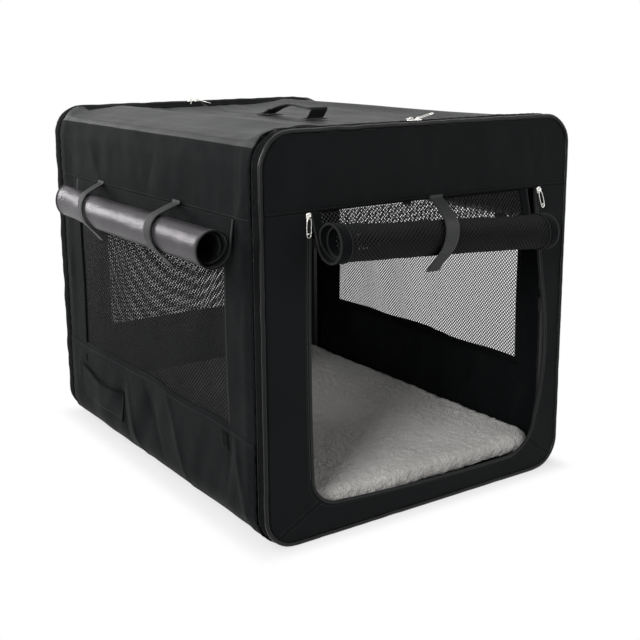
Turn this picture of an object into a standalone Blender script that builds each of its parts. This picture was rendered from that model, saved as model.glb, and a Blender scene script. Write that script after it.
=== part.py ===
"""Folding soft crate for a dog: a fabric box on a steel tube frame that folds down flat.

Metres, +Z up, X to the crate's right, front towards -Y. The origin is the middle of the underside.
Each end has a hoop of two U shaped tubes. The lower U turns on the base rails, the upper U on the
top rails, and knuckles at mid height let both hoops fold inwards, so the top comes straight down.
"""

import math

import bmesh
import bpy
from mathutils import Matrix, Vector

# Driving dimensions: the outside of the fabric box
WIDTH = 0.530
LENGTH = 0.675
HEIGHT = 0.545
CORNER = 0.047
TOP_SAG = 0.0125
TOP_COLUMNS = 12
TOP_ROWS = 12
# Share of each corner's arc that the bottom and the top reach round, clear of the folded hoops
CORNER_WRAP = 1 / 6

# Clearances
TOUCH = 0.0003
SEWN = 0.0003

# Fabric shell
SHELL = 0.002
SKIN_INSET = 0.0015
PIPE_R = 0.0032
GUSSET_WIDTH = 0.0156
END_PANEL = 0.003
END_INSET = 0.0025

# Front door
DOOR_LEFT = -0.190
DOOR_RIGHT = 0.2015
DOOR_BELLY = 0.0185
DOOR_SILL = 0.034
DOOR_SILL_RISE = 0.010
DOOR_CORNER_LEFT = 0.043
DOOR_CORNER_RIGHT = 0.058
HEADER_SEAM = 0.440
DOOR_SHEET = 0.0022
DOOR_ROLL_R = 0.0275
DOOR_ROLL_REACH = 0.0385
DOOR_ROLL_LEFT_Z = 0.407
DOOR_ROLL_RIGHT_Z = 0.384
DOOR_TURNS = 2.6

# Side and rear windows
SIDE_SEAM = 0.431
WINDOW_SILL = 0.150
WINDOW_HEAD = 0.418
WINDOW_FRONT = -0.244
WINDOW_BACK = 0.243
REAR_WINDOW_HALF = 0.180
NET_THICKNESS = 0.0012
NET_BAR = 0.004
NET_COLUMNS = 8
NET_ROWS = 6

# Side flaps, rolled up
FLAP_SHEET = 0.0018
FLAP_ROLL_R = 0.0265
FLAP_ROLL_REACH = 0.032
FLAP_ROLL_Z = 0.397
FLAP_TURNS = 2.1
FLAP_FRONT = -0.275
FLAP_BACK = 0.245
ROLL_PITCH = 0.0036

# Straps that hold the rolls
STRAP_WIDTH = 0.022
STRAP_THICKNESS = 0.0012
STRAP_SEAT = 0.004
DOOR_STRAP_X = 0.003
DOOR_STRAP_DRIFT = -0.045
FLAP_STRAPS = ((0.136, -0.070), (-0.126, -0.045))

# Pocket on the left side
POCKET_FRONT = 0.100
POCKET_BACK = 0.260
POCKET_SILL = 0.052
POCKET_TOP = 0.106
POCKET_DEPTH = 0.0046
POCKET_WALL = 0.0013

# Tube frame
TUBE_R = 0.008
BEND_R = 0.036
CAP_R = 0.0095
CAP_LENGTH = 0.020
CAP_SHIFT = 0.010
CAP_CLEAR = 0.007
EYE_R = 0.0115
EYE_BORE = 0.0084
EYE_LENGTH = 0.022
RAIL_INSET = 0.095
FRAME_GAP = 0.0005
HOOP_BACKSET = 0.0245

# Knuckle hinge between the two halves of a hoop
NOSE_R = 0.005
TONGUE_HALF = 0.0029
EAR_INNER = 0.0032
EAR_OUTER = 0.0072
PIN_R = 0.0025
PIN_HOLE = 0.0028
PIN_HEAD_R = 0.0040
PIN_HALF = 0.0088

# Fleece mat
MAT_THICKNESS = 0.030
MAT_CORNER = 0.045
MAT_SIDE_GAP = 0.003
MAT_END_GAP = 0.0035

# Carry handle
HANDLE_HALF = 0.0625
HANDLE_WIDTH = 0.022
HANDLE_THICKNESS = 0.003
HANDLE_RISE = 0.008
HANDLE_AXIS = 0.012
HANDLE_STUB_R = 0.0025
HANDLE_HOLE = 0.0029
ANCHOR_LENGTH = 0.030
ANCHOR_WIDTH = 0.028
ANCHOR_PATCH = 0.0015
ANCHOR_TAB = 0.002
ANCHOR_HEIGHT = 0.019

# Zip sliders: length along the zip, width, body height, and the bridge that holds the pull
SLIDER_LENGTH = 0.0095
SLIDER_WIDTH = 0.0080
SLIDER_BODY = 0.0022
BRIDGE_HALF = 0.0036
BRIDGE_HEIGHT = 0.0034
BRIDGE_WIDTH = 0.0028
TUNNEL_HALF = 0.0024
TUNNEL_TOP = 0.0024
PULL_WIDTH = 0.0078
PULL_BAR = 0.0014
PULL_THICKNESS = 0.0012
TOP_PULL = 0.022
DOOR_PULL = 0.027
SLIDER_APART = 0.0065
SLIDERS_MEET_X = -0.009
DOOR_ZIP_OUT = 0.0045
DOOR_ZIP_BELOW = 0.004

# Places worked out from the sizes above
SKIN_X = WIDTH / 2 - SKIN_INSET
SKIN_TOP = HEIGHT - SKIN_INSET
SKIN_CORNER = CORNER - SKIN_INSET
RAIL_X = WIDTH / 2 - RAIL_INSET
GUSSET_START = LENGTH / 2 - 2 * PIPE_R - TOUCH
ZIP_Y = GUSSET_START - GUSSET_WIDTH
BODY_END = ZIP_Y - TOUCH
END_FACE = LENGTH / 2 - END_INSET
HOOP_Y = LENGTH / 2 - HOOP_BACKSET
POST_X = SKIN_X - SHELL - FRAME_GAP - CAP_R
BAR_HEIGHT = SHELL + TOUCH + EYE_R
TOP_BAR_Z = SKIN_TOP - BAR_HEIGHT
PIVOT_Z = (BAR_HEIGHT + TOP_BAR_Z) / 2
SAG_END = HOOP_Y - EYE_R


def material(name, colour, roughness, metallic=0.0):
    """A plain Principled material."""
    made = bpy.data.materials.new(name)
    made.use_nodes = True
    shader = made.node_tree.nodes["Principled BSDF"]
    shader.inputs["Base Color"].default_value = (*colour, 1.0)
    shader.inputs["Roughness"].default_value = roughness
    shader.inputs["Metallic"].default_value = metallic
    made.diffuse_color = (*colour, 1.0)
    return made


def clear_scene():
    for thing in list(bpy.data.objects):
        bpy.data.objects.remove(thing, do_unlink=True)


def add_object(name, data, look=None):
    thing = bpy.data.objects.new(name, data)
    bpy.context.collection.objects.link(thing)
    if look:
        data.materials.append(look)
    return thing


def mesh_object(name, bm, look=None, smooth_angle=None):
    """Turns a bmesh into an object with its faces pointing out."""
    bmesh.ops.recalc_face_normals(bm, faces=bm.faces)
    mesh = bpy.data.meshes.new(name)
    bm.to_mesh(mesh)
    bm.free()
    if smooth_angle:
        mesh.shade_smooth()
        mesh.set_sharp_from_angle(angle=math.radians(smooth_angle))
    return add_object(name, mesh, look)


def arc(cx, cz, radius, start, end, steps):
    """Points on an arc, angles in degrees."""
    angles = [math.radians(start + (end - start) * i / steps) for i in range(steps + 1)]
    return [(cx + radius * math.cos(a), cz + radius * math.sin(a)) for a in angles]


def rounded_box(x0, x1, z0, z1, radius, steps=6):
    """A rounded rectangle, anticlockwise from the lower right corner."""
    points = arc(x1 - radius, z0 + radius, radius, -90, 0, steps)
    points += arc(x1 - radius, z1 - radius, radius, 0, 90, steps)
    points += arc(x0 + radius, z1 - radius, radius, 90, 180, steps)
    points += arc(x0 + radius, z0 + radius, radius, 180, 270, steps)
    return points


def prism(outline, place, near, far):
    """A bmesh prism: place(a, b, depth) gives a point from outline coordinates and a depth."""
    bm = bmesh.new()
    low = [bm.verts.new(place(a, b, near)) for a, b in outline]
    high = [bm.verts.new(place(a, b, far)) for a, b in outline]
    bm.faces.new(low)
    bm.faces.new(high)
    count = len(outline)
    for i in range(count):
        j = (i + 1) % count
        bm.faces.new((low[i], low[j], high[j], high[i]))
    return bm


def facing_front(a, b, depth):
    """Outline in X and Z, depth along Y."""
    return Vector((a, depth, b))


def facing_side(a, b, depth):
    """Outline in Y and Z, depth along X."""
    return Vector((depth, a, b))


def facing_up(a, b, depth):
    """Outline in X and Y, depth along Z."""
    return Vector((a, b, depth))


def box(x0, x1, y0, y1, z0, z1):
    return prism([(x0, z0), (x1, z0), (x1, z1), (x0, z1)], facing_front, y0, y1)


def cylinder(radius, centre, axis, half, sides=16):
    """A bmesh cylinder along X, Y or Z whose flats lie outside the radius."""
    reach = radius / math.cos(math.pi / sides)
    outline = [
        (reach * math.cos(a), reach * math.sin(a))
        for a in (2 * math.pi * (i + 0.5) / sides for i in range(sides))
    ]
    place = {"X": facing_side, "Y": facing_front, "Z": facing_up}[axis]
    bm = prism(outline, place, -half, half)
    bmesh.ops.translate(bm, verts=bm.verts, vec=Vector(centre))
    return bm


def cutter(name, bm):
    thing = mesh_object(name, bm)
    thing.hide_render = True
    thing.display_type = "WIRE"
    return thing


def combine(thing, other, operation):
    """A Boolean with another object, which is then only a guide."""
    other.hide_render = True
    other.display_type = "WIRE"
    step = thing.modifiers.new(operation.title(), "BOOLEAN")
    step.operation = operation
    step.solver = "EXACT"
    step.object = other


def tube(name, points, radius, look, closed=False, resolution=2):
    """A round tube along points, with filled ends unless it is closed."""
    curve = bpy.data.curves.new(name, "CURVE")
    curve.dimensions = "3D"
    curve.bevel_depth = radius
    curve.bevel_resolution = resolution
    curve.use_fill_caps = not closed
    line = curve.splines.new("POLY")
    line.points.add(len(points) - 1)
    for knot, place in zip(line.points, points):
        knot.co = (*place, 1.0)
    line.use_cyclic_u = closed
    line.use_smooth = True
    return add_object(name, curve, look)


def ribbon(name, edge_a, edge_b, thickness, place, look, smooth=True):
    """A bent sheet: edge_a and edge_b are lists of (out, z, along), one for each long edge."""
    bm = bmesh.new()
    rows = []
    for edge in (edge_a, edge_b):
        inner, outer = [], []
        for i, (out, z, along) in enumerate(edge):
            before, after = edge[max(i - 1, 0)], edge[min(i + 1, len(edge) - 1)]
            run = Vector((after[0] - before[0], after[1] - before[1])).normalized()
            side = Vector((-run.y, run.x)) * thickness / 2
            inner.append(bm.verts.new(place(out - side.x, z - side.y, along)))
            outer.append(bm.verts.new(place(out + side.x, z + side.y, along)))
        rows.append((inner, outer))
    (inner_a, outer_a), (inner_b, outer_b) = rows
    for i in range(len(edge_a) - 1):
        j = i + 1
        bm.faces.new((inner_a[i], inner_a[j], inner_b[j], inner_b[i]))
        bm.faces.new((outer_a[i], outer_b[i], outer_b[j], outer_a[j]))
        bm.faces.new((inner_a[i], outer_a[i], outer_a[j], inner_a[j]))
        bm.faces.new((inner_b[i], inner_b[j], outer_b[j], outer_b[i]))
    for i in (0, len(edge_a) - 1):
        bm.faces.new((inner_a[i], inner_b[i], outer_b[i], outer_a[i]))
    return mesh_object(name, bm, look, 40 if smooth else None)


def empty(name, place):
    thing = add_object(name, None)
    thing.empty_display_size = 0.03
    thing.location = place
    return thing


def move_origin(thing, place):
    """Puts an object's origin on a joint axis and leaves its shape where it is."""
    place = Vector(place)
    thing.data.transform(Matrix.Translation(-place))
    thing.location = place


def hang(thing, parent, parent_place):
    """Parents an object and keeps its place in the world."""
    thing.parent = parent
    thing.matrix_parent_inverse = Matrix.Translation(-Vector(parent_place))


def top_height(x, y, inset=SKIN_INSET):
    """Height of the sagging top fabric at a place."""
    across = max(0.0, 1 - (x / (RAIL_X - EYE_R)) ** 2)
    along = max(0.0, 1 - (y / SAG_END) ** 2)
    return HEIGHT - inset - TOP_SAG * across ** 1.5 * along


def faceted_height(x, y):
    """Height of the top fabric as its flat facets have it, for what is sewn to it."""

    def between(value, low, high, count):
        step = (high - low) / count
        i = min(int((value - low) / step), count - 1)
        return low + i * step, low + (i + 1) * step, (value - low) / step - i

    flat_x = SKIN_X - SKIN_CORNER
    x0, x1, u = between(x, -flat_x, flat_x, TOP_COLUMNS)
    y0, y1, v = between(y, -BODY_END, BODY_END, TOP_ROWS)
    rows = [top_height(x0, at) * (1 - u) + top_height(x1, at) * u for at in (y0, y1)]
    return rows[0] * (1 - v) + rows[1] * v


def shell_profile(start, end):
    """Closed outline of a wrapped fabric strip.

    start and end are (corner, share of its arc) pairs, the corners counted anticlockwise from the
    lower right one.
    """
    outer = rounded_box(-SKIN_X, SKIN_X, 0, SKIN_TOP, SKIN_CORNER)
    inner = rounded_box(
        -SKIN_X + SHELL, SKIN_X - SHELL, SHELL, SKIN_TOP - SHELL, SKIN_CORNER - SHELL
    )
    per_corner = len(outer) // 4
    first = start[0] * per_corner + round(start[1] * (per_corner - 1))
    last = end[0] * per_corner + round(end[1] * (per_corner - 1))
    while last <= first:
        last += len(outer)
    walk = [i % len(outer) for i in range(first, last + 1)]
    outline = [Vector(outer[i]) for i in walk]
    lining = [Vector(inner[i]) for i in walk]
    for row in (outline, lining):
        row[0] += (row[1] - row[0]).normalized() * SEWN / 2
        row[-1] += (row[-2] - row[-1]).normalized() * SEWN / 2
    return [tuple(p) for p in outline + lining[::-1]]


def wrapped_panel(name, start, end, look):
    bm = prism(shell_profile(start, end), facing_front, -BODY_END, BODY_END)
    return mesh_object(name, bm, look, 40)


def make_shell(looks):
    """Bottom, sides and top of the fabric box."""
    far = 1 - CORNER_WRAP
    wrapped_panel("bottom_panel", (3, far), (0, CORNER_WRAP), looks["fabric"])
    for side, name in ((-1, "left"), (1, "right")):
        span = ((2, CORNER_WRAP), (3, far)) if side < 0 else ((0, CORNER_WRAP), (1, far))
        panel = wrapped_panel(f"{name}_side_panel", *span, looks["fabric"])
        window = box(
            side * (SKIN_X - 4 * SHELL), side * (SKIN_X + 4 * SHELL),
            WINDOW_FRONT, WINDOW_BACK, WINDOW_SILL, WINDOW_HEAD,
        )
        combine(panel, cutter(f"{name}_window_cut", window), "DIFFERENCE")
        make_net(
            f"{name}_window_net", WINDOW_FRONT + SEWN, WINDOW_BACK - SEWN,
            lambda a, b, depth, s=side: Vector((s * (SKIN_X - depth), a, b)), looks["net"],
        )
    make_top(looks["top"])


def make_top(look):
    """The top panel sags between the rails, and reaches round each upper corner."""
    outer = rounded_box(-SKIN_X, SKIN_X, 0, SKIN_TOP, SKIN_CORNER)
    per_corner = len(outer) // 4
    reach = round(CORNER_WRAP * (per_corner - 1))
    right = outer[2 * per_corner - 1 - reach : 2 * per_corner]
    flat_x = SKIN_X - SKIN_CORNER
    middle = [(flat_x * (1 - 2 * i / TOP_COLUMNS), SKIN_TOP) for i in range(1, TOP_COLUMNS)]
    left = outer[2 * per_corner : 2 * per_corner + reach + 1]
    line = right + middle + left
    rows = TOP_ROWS
    bm = bmesh.new()
    grids = {}
    for layer, inset in (("outer", 0.0), ("inner", SHELL)):
        grid = []
        for j in range(rows + 1):
            y = -BODY_END + 2 * BODY_END * j / rows
            row = []
            for i, (x, z) in enumerate(line):
                near = line[max(i - 1, 0)]
                far = line[min(i + 1, len(line) - 1)]
                run = Vector((far[0] - near[0], far[1] - near[1])).normalized()
                drop = SKIN_TOP - top_height(x, y) if abs(x) < flat_x else 0.0
                end = {0: SEWN / 2, len(line) - 1: -SEWN / 2}.get(i, 0.0)
                row.append(bm.verts.new((
                    x - run.y * inset + run.x * end, y, z + run.x * inset - drop + run.y * end
                )))
            grid.append(row)
        grids[layer] = grid
    for layer in grids.values():
        for j in range(rows):
            for i in range(len(line) - 1):
                bm.faces.new((layer[j][i], layer[j][i + 1], layer[j + 1][i + 1], layer[j + 1][i]))
    outer_grid, inner_grid = grids["outer"], grids["inner"]
    for j in (0, rows):
        for i in range(len(line) - 1):
            bm.faces.new((outer_grid[j][i], outer_grid[j][i + 1],
                          inner_grid[j][i + 1], inner_grid[j][i]))
    for i in (0, len(line) - 1):
        for j in range(rows):
            bm.faces.new((outer_grid[j][i], outer_grid[j + 1][i],
                          inner_grid[j + 1][i], inner_grid[j][i]))
    return mesh_object("top_panel", bm, look, 40)


def make_net(name, a0, a1, place, look):
    """A window net: one flat lattice with square gaps, inside the window's opening."""
    b0, b1 = WINDOW_SILL + SEWN, WINDOW_HEAD - SEWN

    def lines(low, high, count):
        step = (high - low - NET_BAR) / count
        found = [low]
        for i in range(count):
            found += [low + NET_BAR + i * step, low + (i + 1) * step]
        return found + [high]

    across, up = lines(a0, a1, NET_COLUMNS), lines(b0, b1, NET_ROWS)
    bm = bmesh.new()
    front = [[bm.verts.new(place(a, b, 0.0004)) for a in across] for b in up]
    back = [[bm.verts.new(place(a, b, 0.0004 + NET_THICKNESS)) for a in across] for b in up]

    def solid(i, j):
        inside = 0 <= i < len(across) - 1 and 0 <= j < len(up) - 1
        return inside and not (i % 2 == 1 and j % 2 == 1)

    for j in range(len(up) - 1):
        for i in range(len(across) - 1):
            if not solid(i, j):
                continue
            for grid in (front, back):
                bm.faces.new((grid[j][i], grid[j][i + 1], grid[j + 1][i + 1], grid[j + 1][i]))
            if not solid(i - 1, j):
                bm.faces.new((front[j][i], front[j + 1][i], back[j + 1][i], back[j][i]))
            if not solid(i + 1, j):
                bm.faces.new((front[j][i + 1], back[j][i + 1],
                              back[j + 1][i + 1], front[j + 1][i + 1]))
            if not solid(i, j - 1):
                bm.faces.new((front[j][i], back[j][i], back[j][i + 1], front[j][i + 1]))
            if not solid(i, j + 1):
                bm.faces.new((front[j + 1][i], front[j + 1][i + 1],
                              back[j + 1][i + 1], back[j + 1][i]))
    loose = [v for v in bm.verts if not v.link_faces]
    bmesh.ops.delete(bm, geom=loose, context="VERTS")
    return mesh_object(name, bm, look)


def end_outline():
    """Outline of an end panel, inside the piping."""
    inset = 2 * PIPE_R + SEWN
    return inset, CORNER - inset


def doorway():
    """Outline of the doorway. Its sill rises to the left, and its slack right jamb bows out."""

    def jamb(share):
        return DOOR_RIGHT + DOOR_BELLY * (1 - share) * (0.4 + 1.5 * math.sin(math.pi * share))

    foot = DOOR_SILL + DOOR_CORNER_RIGHT
    steps = 8
    line = arc(jamb(0) - DOOR_CORNER_RIGHT, foot, DOOR_CORNER_RIGHT, -90, 0, 6)
    for i in range(1, steps + 1):
        line.append((jamb(i / steps), foot + (HEADER_SEAM - foot) * i / steps))
    above = HEADER_SEAM + END_PANEL
    line += [(DOOR_RIGHT, above), (DOOR_LEFT, above)]
    foot = DOOR_SILL + DOOR_SILL_RISE + DOOR_CORNER_LEFT
    line += arc(DOOR_LEFT + DOOR_CORNER_LEFT, foot, DOOR_CORNER_LEFT, 180, 270, 6)
    return line


def make_ends(looks):
    """End panels, gussets and piping."""
    inset, corner = end_outline()
    half, top = WIDTH / 2 - inset, HEIGHT - inset
    faces = (-END_FACE, -END_FACE + END_PANEL)
    upper = [p for p in rounded_box(-half, half, inset, top, corner) if p[1] > PIVOT_Z]
    lower = [p for p in rounded_box(-half, half, inset, top, corner) if p[1] < PIVOT_Z]
    header = [(half, HEADER_SEAM + SEWN / 2), *upper, (-half, HEADER_SEAM + SEWN / 2)]
    mesh_object("front_header", prism(header, facing_front, *faces), looks["front"])
    # The lower outline starts and ends at the seam, and the doorway is cut out of it.
    split = len(lower) // 2
    frame = [(-half, HEADER_SEAM - SEWN / 2), *lower[split:], *lower[:split],
             (half, HEADER_SEAM - SEWN / 2)]
    panel = mesh_object("front_panel", prism(frame, facing_front, *faces), looks["front"])
    cut = prism(doorway(), facing_front, -END_FACE - END_PANEL, -END_FACE + 2 * END_PANEL)
    combine(panel, cutter("doorway_cut", cut), "DIFFERENCE")

    outline = rounded_box(-half, half, inset, top, corner)
    rear = mesh_object(
        "rear_panel", prism(outline, facing_front, END_FACE - END_PANEL, END_FACE), looks["front"]
    )
    hole = box(-REAR_WINDOW_HALF, REAR_WINDOW_HALF, END_FACE - 2 * END_PANEL,
               END_FACE + END_PANEL, WINDOW_SILL, WINDOW_HEAD)
    combine(rear, cutter("rear_window_cut", hole), "DIFFERENCE")
    make_net(
        "rear_window_net", -REAR_WINDOW_HALF + SEWN, REAR_WINDOW_HALF - SEWN,
        lambda a, b, depth: Vector((a, END_FACE - depth, b)), looks["net"],
    )
    for side, name in ((-1, "front"), (1, "rear")):
        make_gusset(f"{name}_gusset", side, looks["fabric"])
        centre = rounded_box(
            -WIDTH / 2 + PIPE_R, WIDTH / 2 - PIPE_R, PIPE_R, HEIGHT - PIPE_R, CORNER - PIPE_R
        )
        y = side * (LENGTH / 2 - PIPE_R)
        tube(f"{name}_piping", [(x, y, z) for x, z in centre], PIPE_R, looks["piping"], True)


def make_gusset(name, side, look):
    """A fabric ring between the piping and the zip."""
    outer = rounded_box(-SKIN_X, SKIN_X, 0, SKIN_TOP, SKIN_CORNER)
    inner = rounded_box(
        -SKIN_X + SHELL, SKIN_X - SHELL, SHELL, SKIN_TOP - SHELL, SKIN_CORNER - SHELL
    )
    bm = bmesh.new()
    rings = []
    for outline, y in ((outer, GUSSET_START), (outer, ZIP_Y), (inner, ZIP_Y),
                       (inner, GUSSET_START)):
        rings.append([bm.verts.new((x, side * y, z)) for x, z in outline])
    for ring, following in zip(rings, rings[1:] + rings[:1]):
        for i in range(len(ring)):
            j = (i + 1) % len(ring)
            bm.faces.new((ring[i], ring[j], following[j], following[i]))
    return mesh_object(name, bm, look, 40)


def make_mat(look):
    """Fleece mat on the eyes of the base rails, between the swinging posts."""
    half_width = POST_X - CAP_R - MAT_SIDE_GAP
    half_length = END_FACE - END_PANEL - MAT_END_GAP
    outline = rounded_box(-half_width, half_width, -half_length, half_length, MAT_CORNER)
    low = BAR_HEIGHT + EYE_R + TOUCH
    crown = 0.004
    bm = bmesh.new()
    rings = []
    for inset, z in ((0.004, low), (0.0, low + 0.006), (0.0, low + MAT_THICKNESS - 0.008),
                     (0.006, low + MAT_THICKNESS - crown)):
        shrink_x = 1 - inset / half_width
        shrink_y = 1 - inset / half_length
        rings.append([bm.verts.new((x * shrink_x, y * shrink_y, z)) for x, y in outline])
    bm.faces.new(rings[0])
    for ring, following in zip(rings, rings[1:]):
        for i in range(len(ring)):
            j = (i + 1) % len(ring)
            bm.faces.new((ring[i], ring[j], following[j], following[i]))
    centre = [bm.verts.new((x * 0.8, y * 0.86, low + MAT_THICKNESS)) for x, y in outline]
    for i in range(len(outline)):
        j = (i + 1) % len(outline)
        bm.faces.new((rings[-1][i], rings[-1][j], centre[j], centre[i]))
    bm.faces.new(centre)
    return mesh_object("fleece_mat", bm, look, 50)


def rolled_sheet(reach, height, radius, sheet, turns, hem, per_turn=16):
    """Path of a sheet that hangs from its hem behind a roll, goes under it and winds up
    inside itself."""
    path = [hem]
    mid = radius - sheet / 2
    drop = Vector((reach - hem[0], hem[1] - height))
    lean = math.atan2(drop.x, drop.y) - math.asin(mid / drop.length)
    for i in range(int(turns * per_turn) + 1):
        angle = -math.pi / 2 - lean - 2 * math.pi * i / per_turn
        now = mid - ROLL_PITCH * i / per_turn
        path.append((reach + now * math.sin(angle), height + now * math.cos(angle)))
    return path


def strap_path(reach, height, radius, seat_z, leave):
    """Path of a strap: down the wall, over the roll, and off it with a free tail."""
    around = radius + SEWN + STRAP_THICKNESS / 2
    path = [(SEWN + STRAP_THICKNESS / 2, seat_z + STRAP_SEAT),
            (SEWN + STRAP_THICKNESS / 2, seat_z)]
    start, steps = -16.0, 12
    for i in range(steps + 1):
        angle = math.radians(start + (leave - start) * i / steps)
        path.append((reach + around * math.sin(angle), height + around * math.cos(angle)))
    tail = 0.028
    angle = math.radians(leave)
    run = (math.cos(angle), -math.sin(angle))
    path.append((path[-1][0] + run[0] * tail, path[-1][1] + run[1] * tail))
    return path


def strap(name, path, start, drift, place, look):
    """A strap whose far end has drifted sideways along the roll."""
    lengths = [0.0]
    for a, b in zip(path, path[1:]):
        lengths.append(lengths[-1] + math.dist(a, b))
    shift = [start + drift * l / lengths[-1] for l in lengths]
    near = [(out, z, s) for (out, z), s in zip(path, shift)]
    far = [(out, z, s + STRAP_WIDTH) for (out, z), s in zip(path, shift)]
    return ribbon(name, near, far, STRAP_THICKNESS, place, look)


def make_door(looks):
    """The door, rolled up under the header, and its strap."""

    def place(out, z, along):
        return Vector((along, -END_FACE - out, z))

    left, right = DOOR_LEFT + SEWN, DOOR_RIGHT - SEWN
    # The sheet starts in the doorway, behind the panel's face.
    hem = (-END_PANEL / 2, HEADER_SEAM - SEWN - 0.1 * DOOR_SHEET)

    def roll_height(x):
        share = (x - left) / (right - left)
        return DOOR_ROLL_LEFT_Z + (DOOR_ROLL_RIGHT_Z - DOOR_ROLL_LEFT_Z) * share

    edges = []
    for x in (left, right):
        path = rolled_sheet(DOOR_ROLL_REACH, roll_height(x), DOOR_ROLL_R, DOOR_SHEET,
                            DOOR_TURNS, hem)
        edges.append([(out, z, x) for out, z in path])
    ribbon("front_door_roll", *edges, DOOR_SHEET, place, looks["door"])
    height = roll_height(DOOR_STRAP_X)
    path = strap_path(DOOR_ROLL_REACH, height, DOOR_ROLL_R + 0.0006, HEADER_SEAM + 0.0015, 128.0)
    strap("door_strap", path, DOOR_STRAP_X, DOOR_STRAP_DRIFT, place, looks["strap"])


def make_flaps(looks):
    """Side flaps, rolled up outside the windows, with two straps each."""
    for side, name in ((-1, "left"), (1, "right")):

        def place(out, z, along, s=side):
            return Vector((s * (SKIN_X + out), along, z))

        hem = (SEWN + FLAP_SHEET / 2, SIDE_SEAM)
        path = rolled_sheet(FLAP_ROLL_REACH, FLAP_ROLL_Z, FLAP_ROLL_R, FLAP_SHEET, FLAP_TURNS,
                            hem)
        edges = [[(out, z, y) for out, z in path] for y in (FLAP_FRONT, FLAP_BACK)]
        ribbon(f"{name}_flap_roll", *edges, FLAP_SHEET, place, looks["flap"])
        over = strap_path(FLAP_ROLL_REACH, FLAP_ROLL_Z, FLAP_ROLL_R, SIDE_SEAM + 0.0025, 135.0)
        for end, (y, drift) in zip(("rear", "front"), FLAP_STRAPS):
            strap(f"{name}_{end}_flap_strap", over, y, drift, place, looks["strap"])


def make_pocket(look):
    """A flat pouch on the left side, open at its top."""
    face = -SKIN_X - SEWN
    pouch = mesh_object(
        "left_pocket",
        box(face - POCKET_DEPTH, face, POCKET_FRONT, POCKET_BACK, POCKET_SILL, POCKET_TOP), look,
    )
    room = box(
        face - POCKET_DEPTH + POCKET_WALL, face - POCKET_WALL, POCKET_FRONT + 0.004,
        POCKET_BACK - 0.004, POCKET_SILL + 0.004, POCKET_TOP + 0.01,
    )
    combine(pouch, cutter("pocket_cut", room), "DIFFERENCE")


def hoop_path(z_bar, z_end):
    """A U in the XZ plane from one post end, round the crossbar, to the other post end."""
    up = 1 if z_end > z_bar else -1
    corner_x, corner_z = POST_X - BEND_R, z_bar + up * BEND_R
    right = [(corner_x + BEND_R * math.sin(a), corner_z - up * BEND_R * math.cos(a))
             for a in (math.radians(15 * i) for i in range(7))]
    half = right + [(POST_X, z_end)]
    return [(-x, z) for x, z in reversed(half)] + half


def knuckle_ear(x0, x1):
    """A hinge plate: a nose round the pin and a foot that runs into the cap below."""
    nose = arc(0, 0, NOSE_R, -20, 225, 14)
    foot = CAP_CLEAR + 0.003
    slant = NOSE_R * math.sqrt(0.5)
    outline = [(CAP_SHIFT + 0.004, -foot), (CAP_SHIFT + 0.004, -CAP_CLEAR), *nose,
               (foot - 2 * slant, -foot)]
    return prism(outline, facing_side, x0, x1)


def make_knuckle(name, plates, turn, place, look):
    """A cap on a post end with one or two hinge plates, bored for the pin."""
    cap = cylinder(CAP_R * math.cos(math.pi / 16),
                   (0, CAP_SHIFT, -CAP_CLEAR - CAP_LENGTH / 2), "Z", CAP_LENGTH / 2)
    body = mesh_object(name, cap, look, 40)
    guides = [mesh_object(f"{name}_plate_{i}", knuckle_ear(*span)) for i, span in enumerate(plates)]
    for guide in guides:
        combine(body, guide, "UNION")
    bore = cutter(f"{name}_bore", cylinder(PIN_HOLE, (0, 0, 0), "X", 2 * EAR_OUTER))
    combine(body, bore, "DIFFERENCE")
    for thing in (body, bore, *guides):
        thing.data.transform(turn)
        thing.location = place
    return body


def make_pin(name, place, look):
    """The pin of a knuckle, with a head at each end."""
    outline = [(-PIN_HALF, 0), (-PIN_HALF, PIN_HEAD_R), (-EAR_OUTER - TOUCH, PIN_HEAD_R),
               (-EAR_OUTER - TOUCH, PIN_R), (EAR_OUTER + TOUCH, PIN_R),
               (EAR_OUTER + TOUCH, PIN_HEAD_R), (PIN_HALF, PIN_HEAD_R), (PIN_HALF, 0)]
    bm = bmesh.new()
    chain = [bm.verts.new((x, 0, r)) for x, r in outline]
    edges = [bm.edges.new(pair) for pair in zip(chain, chain[1:])]
    bmesh.ops.spin(bm, geom=chain + edges, cent=(0, 0, 0), axis=(1, 0, 0), angle=2 * math.pi,
                   steps=12, use_duplicate=False)
    bmesh.ops.remove_doubles(bm, verts=bm.verts, dist=0.00001)
    pin = mesh_object(name, bm, look, 40)
    pin.location = place
    return pin


def make_rail(name, x, z, look):
    """A tube along the crate with an eye at each end for the crossbars."""
    rail = mesh_object(name, cylinder(TUBE_R * math.cos(math.pi / 12), (0, 0, 0), "Y",
                                      HOOP_Y - TUBE_R, 12), look, 40)
    guides = []
    for side, end in ((-1, "front"), (1, "rear")):
        centre = (0, side * HOOP_Y, 0)
        guides.append(cutter(f"{name}_{end}_eye",
                             cylinder(EYE_R * math.cos(math.pi / 20), centre, "X",
                                      EYE_LENGTH / 2, 20)))
        combine(rail, guides[-1], "UNION")
    for side, end in ((-1, "front"), (1, "rear")):
        centre = (0, side * HOOP_Y, 0)
        guides.append(cutter(f"{name}_{end}_bore",
                             cylinder(EYE_BORE, centre, "X", EYE_LENGTH, 20)))
        combine(rail, guides[-1], "DIFFERENCE")
    for thing in (rail, *guides):
        thing.location = (x, 0, z)
    return rail


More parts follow.
